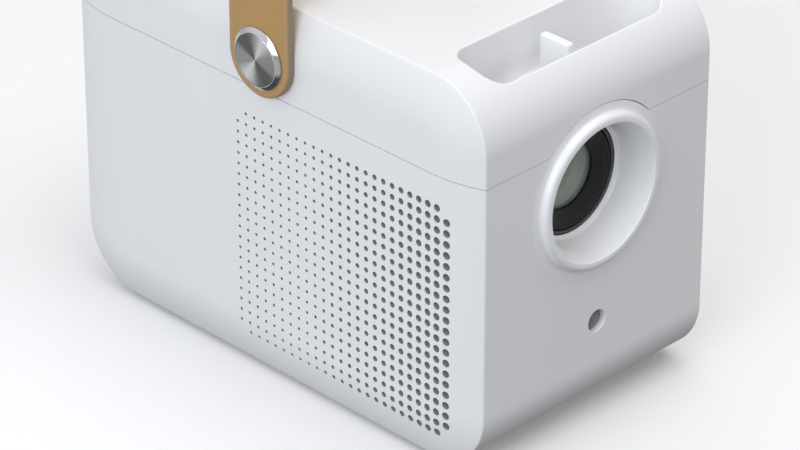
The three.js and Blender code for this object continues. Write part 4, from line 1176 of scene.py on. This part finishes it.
def stud(side, word):
    """A turned stud: polished bevelled collar, a fine groove, and the spun face, with its painted reflection,
    set in it.
    """
    head = HALF_WIDTH + GAP + STRAP_THICKNESS + GAP
    middle = (0.0, 0.0, STUD_Z)
    collar = rounded_profile([
        (0.0, 53.3), (3.0, 53.3), (3.0, head, 0.1), (11.6, head, 0.12), (11.45, head + 0.3, 0.12),
        (9.95, head + 1.34, 0.1), (9.75, head + 1.34, 0.04), (9.75, head + 0.9), (0.0, head + 0.9),
    ], 4)
    face = [(0.0, head + 0.7), (9.6, head + 0.7), (9.64, head + 1.2), (9.54, head + 1.29), (9.35, head + 1.32)]
    for k in range(1, 8):
        share = 1 - k / 7
        face.append((9.35 * share, head + 1.32 + 0.03 * (1 - share**2)))
    for part, profile, look, stands_for in (
        ("collar", collar, "stud_steel", (f"strap_stud_{word}",)), ("face", face, "stud_spun", ()),
    ):
        shape = turned([(r, side * y) for r, y in profile], "y", middle, 128)
        make_object(f"stud_{part}_{word}", shape, "housing", [look], 24, stands_for)


strap()
stud(1, "left")
stud(-1, "right")

# ---------------------------------------------------------------- keys, feet, rear panel


def add_key(name, loop, ease):
    shape = slab(loop, TOP - 4.5, TOP + 0.6, ease)
    body = f"{name}_button"
    make_object(f"{name}_key", shape, body, ["white_case"], replaces=(body,))


def keys():
    for name, x, y, radius in SIDE_KEYS:
        add_key(name, circle((x, y), radius, 48), 0.45)
    add_key("ok", circle((PAD_X, 0.0), OK_RADIUS, 64), 0.45)
    half_angle = math.radians(42)
    for name, turn in (("up", 0), ("left", 90), ("down", 180), ("right", 270)):
        start = math.radians(turn)
        outer = [(PAD_RADII[1], start - half_angle + 2 * half_angle * k / 24) for k in range(25)]
        inner = [(PAD_RADII[0], start + half_angle - 2 * half_angle * k / 12) for k in range(13)]
        add_key(name, np.array([(PAD_X + r * math.cos(a), r * math.sin(a)) for r, a in outer + inner]), 0.4)


def feet():
    profile = rounded_profile([(0.0, 0.0), (6.4, 0.0, 0.3), (7.0, 0.8, 0.3), (7.0, 2.7), (0.0, 2.7)])
    for number, (x, y) in enumerate(((58, 42), (58, -42), (-58, -42), (-58, 42)), 1):
        shape = turned(profile, "z", (x, y, 0), 64)
        name = f"foot_{number}"
        make_object(f"rubber_{name}", shape, "housing", ["foot_rubber"], replaces=(name,))


def stadium(centre, half, steps=8):
    """A slot outline with round ends, long along the first axis."""
    radius = half[1]
    turn = -math.pi / 2 + math.pi * np.arange(steps + 1) / steps
    end = np.stack([half[0] - radius + radius * np.cos(turn), radius * np.sin(turn)], 1)
    return np.concatenate([end, -end]) + centre


def rear_panel():
    """Set-in rear panel: air slots with round ends, and a mouth for every port."""
    outline = rounded_rectangle((0.0, sum(PANEL_HEIGHTS) / 2), (44.4, 40.4), 2.0, 5, 6.0)
    holes = [stadium((0.0, 54 + 6.5 * k), (31.0, 1.5)) for k in range(9)]
    for _, y, half_width, half_height, corner, _ in WIDE_PORTS:
        holes.append(rounded_rectangle((y, PORT_Z), (half_width, half_height), corner, 3, 4.0))
    holes += [circle((y, PORT_Z), 3.3, 32) for y in (24.0, 34.0)]
    holes.append(rounded_rectangle((-37.6, 52.0), (6.3, 9.3), 1.0, 3, 4.0))
    flat, triangles = triangulate(outline, holes, [])
    points = np.insert(flat, 0, PANEL_X, axis=1)
    normals = np.tile((-1.0, 0.0, 0.0), (len(flat), 1))
    sheet = Sheet()
    sheet.add(points, points + (WALL - 0.2, 0, 0), normals, triangles)
    make_shell("rear_plate", sheet, ["rear_panel"], ("rear_panel",))


def port_tongues():
    """The flat tongue that carries the contacts inside each of the three wide ports."""
    for name, y, *_, half_width in WIDE_PORTS:
        loop = rounded_rectangle((PORT_REAR + 6.4, y), (4.4, half_width), 0.4, 3, 4.0)
        shape = slab(loop, PORT_Z - 0.1, PORT_Z + 1.5, 0.15)
        make_object(f"{name}_tongue", shape, "housing", ["black_plastic"])


keys()
feet()
rear_panel()
port_tongues()

# ---------------------------------------------------------------- studio


# Brightness of the studio's walls by the height of a direction, from straight down to straight up
WORLD_HEIGHTS = ((0.0, 0.06), (0.13, 0.10), (0.20, 0.62), (0.40, 0.62), (0.50, 0.50), (0.68, 0.75), (1.0, 0.79))
WORLD_AHEAD = 0.60


def softbox(name, place, size, power, colour):
    """A square area light that faces the middle of the object."""
    data = bpy.data.lights.new(name, "AREA")
    data.shape = "RECTANGLE"
    data.size = data.size_y = size
    data.energy = power
    data.color = colour
    lamp = bpy.data.objects.new(name, data)
    lamp.location = (cad_bounds[0] + cad_bounds[1]) / 2 + Vector(place)
    lamp.rotation_mode = "QUATERNION"
    lamp.rotation_quaternion = Vector(place).to_track_quat("Z", "Y")
    bpy.context.scene.collection.objects.link(lamp)


def studio():
    floor = bpy.data.meshes.new("floor")
    corners = [(x * FLOOR_REACH, y * FLOOR_REACH, 0) for x, y in ((-1, -1), (1, -1), (1, 1), (-1, 1))]
    floor.from_pydata(corners, [], [(0, 1, 2, 3)])
    stand = bpy.data.objects.new("floor", floor)
    stand.location.z = cad_bounds[0].z
    bpy.context.scene.collection.objects.link(stand)
    floor.materials.append(finish_of("floor", (0.965, 0.958, 0.945), 0.9, vary=0.01, vary_scale=2, bump=0.0))
    stand.visible_diffuse = False
    stand.visible_glossy = False

    world = bpy.data.worlds.new("studio")
    bpy.context.scene.world = world
    world.use_nodes = True
    tree = world.node_tree
    way = add_node(tree, "TexCoord", {})["Generated"]
    apart = add_node(tree, "SeparateXYZ", {"Vector": way})
    share = add_node(tree, "MapRange", {"Value": apart["Z"], "From Min": -1.0})["Result"]
    ahead = {"Value": apart["X"], "From Min": -0.4, "From Max": 1.0, "To Min": 1.0, "To Max": WORLD_AHEAD}
    dimmer = add_node(tree, "MapRange", ahead, interpolation_type="SMOOTHSTEP")["Result"]
    strength = {0: grey_ramp(tree, share, WORLD_HEIGHTS), 1: dimmer}
    feed(tree, tree.nodes["Background"], {
        "Color": (0.96, 0.975, 1.0, 1),
        "Strength": add_node(tree, "Math", strength, operation="MULTIPLY")["Value"],
    })
    softbox("top_box", (0.5, 0.1, 1.55), 1.3, 9.4, (1.0, 0.995, 0.985))
    softbox("side_box", (0.5, -1.55, 0.7), 1.2, 12.3, (0.86, 0.915, 1.02))


studio()
bpy.context.scene.view_settings.view_transform = "Standard"
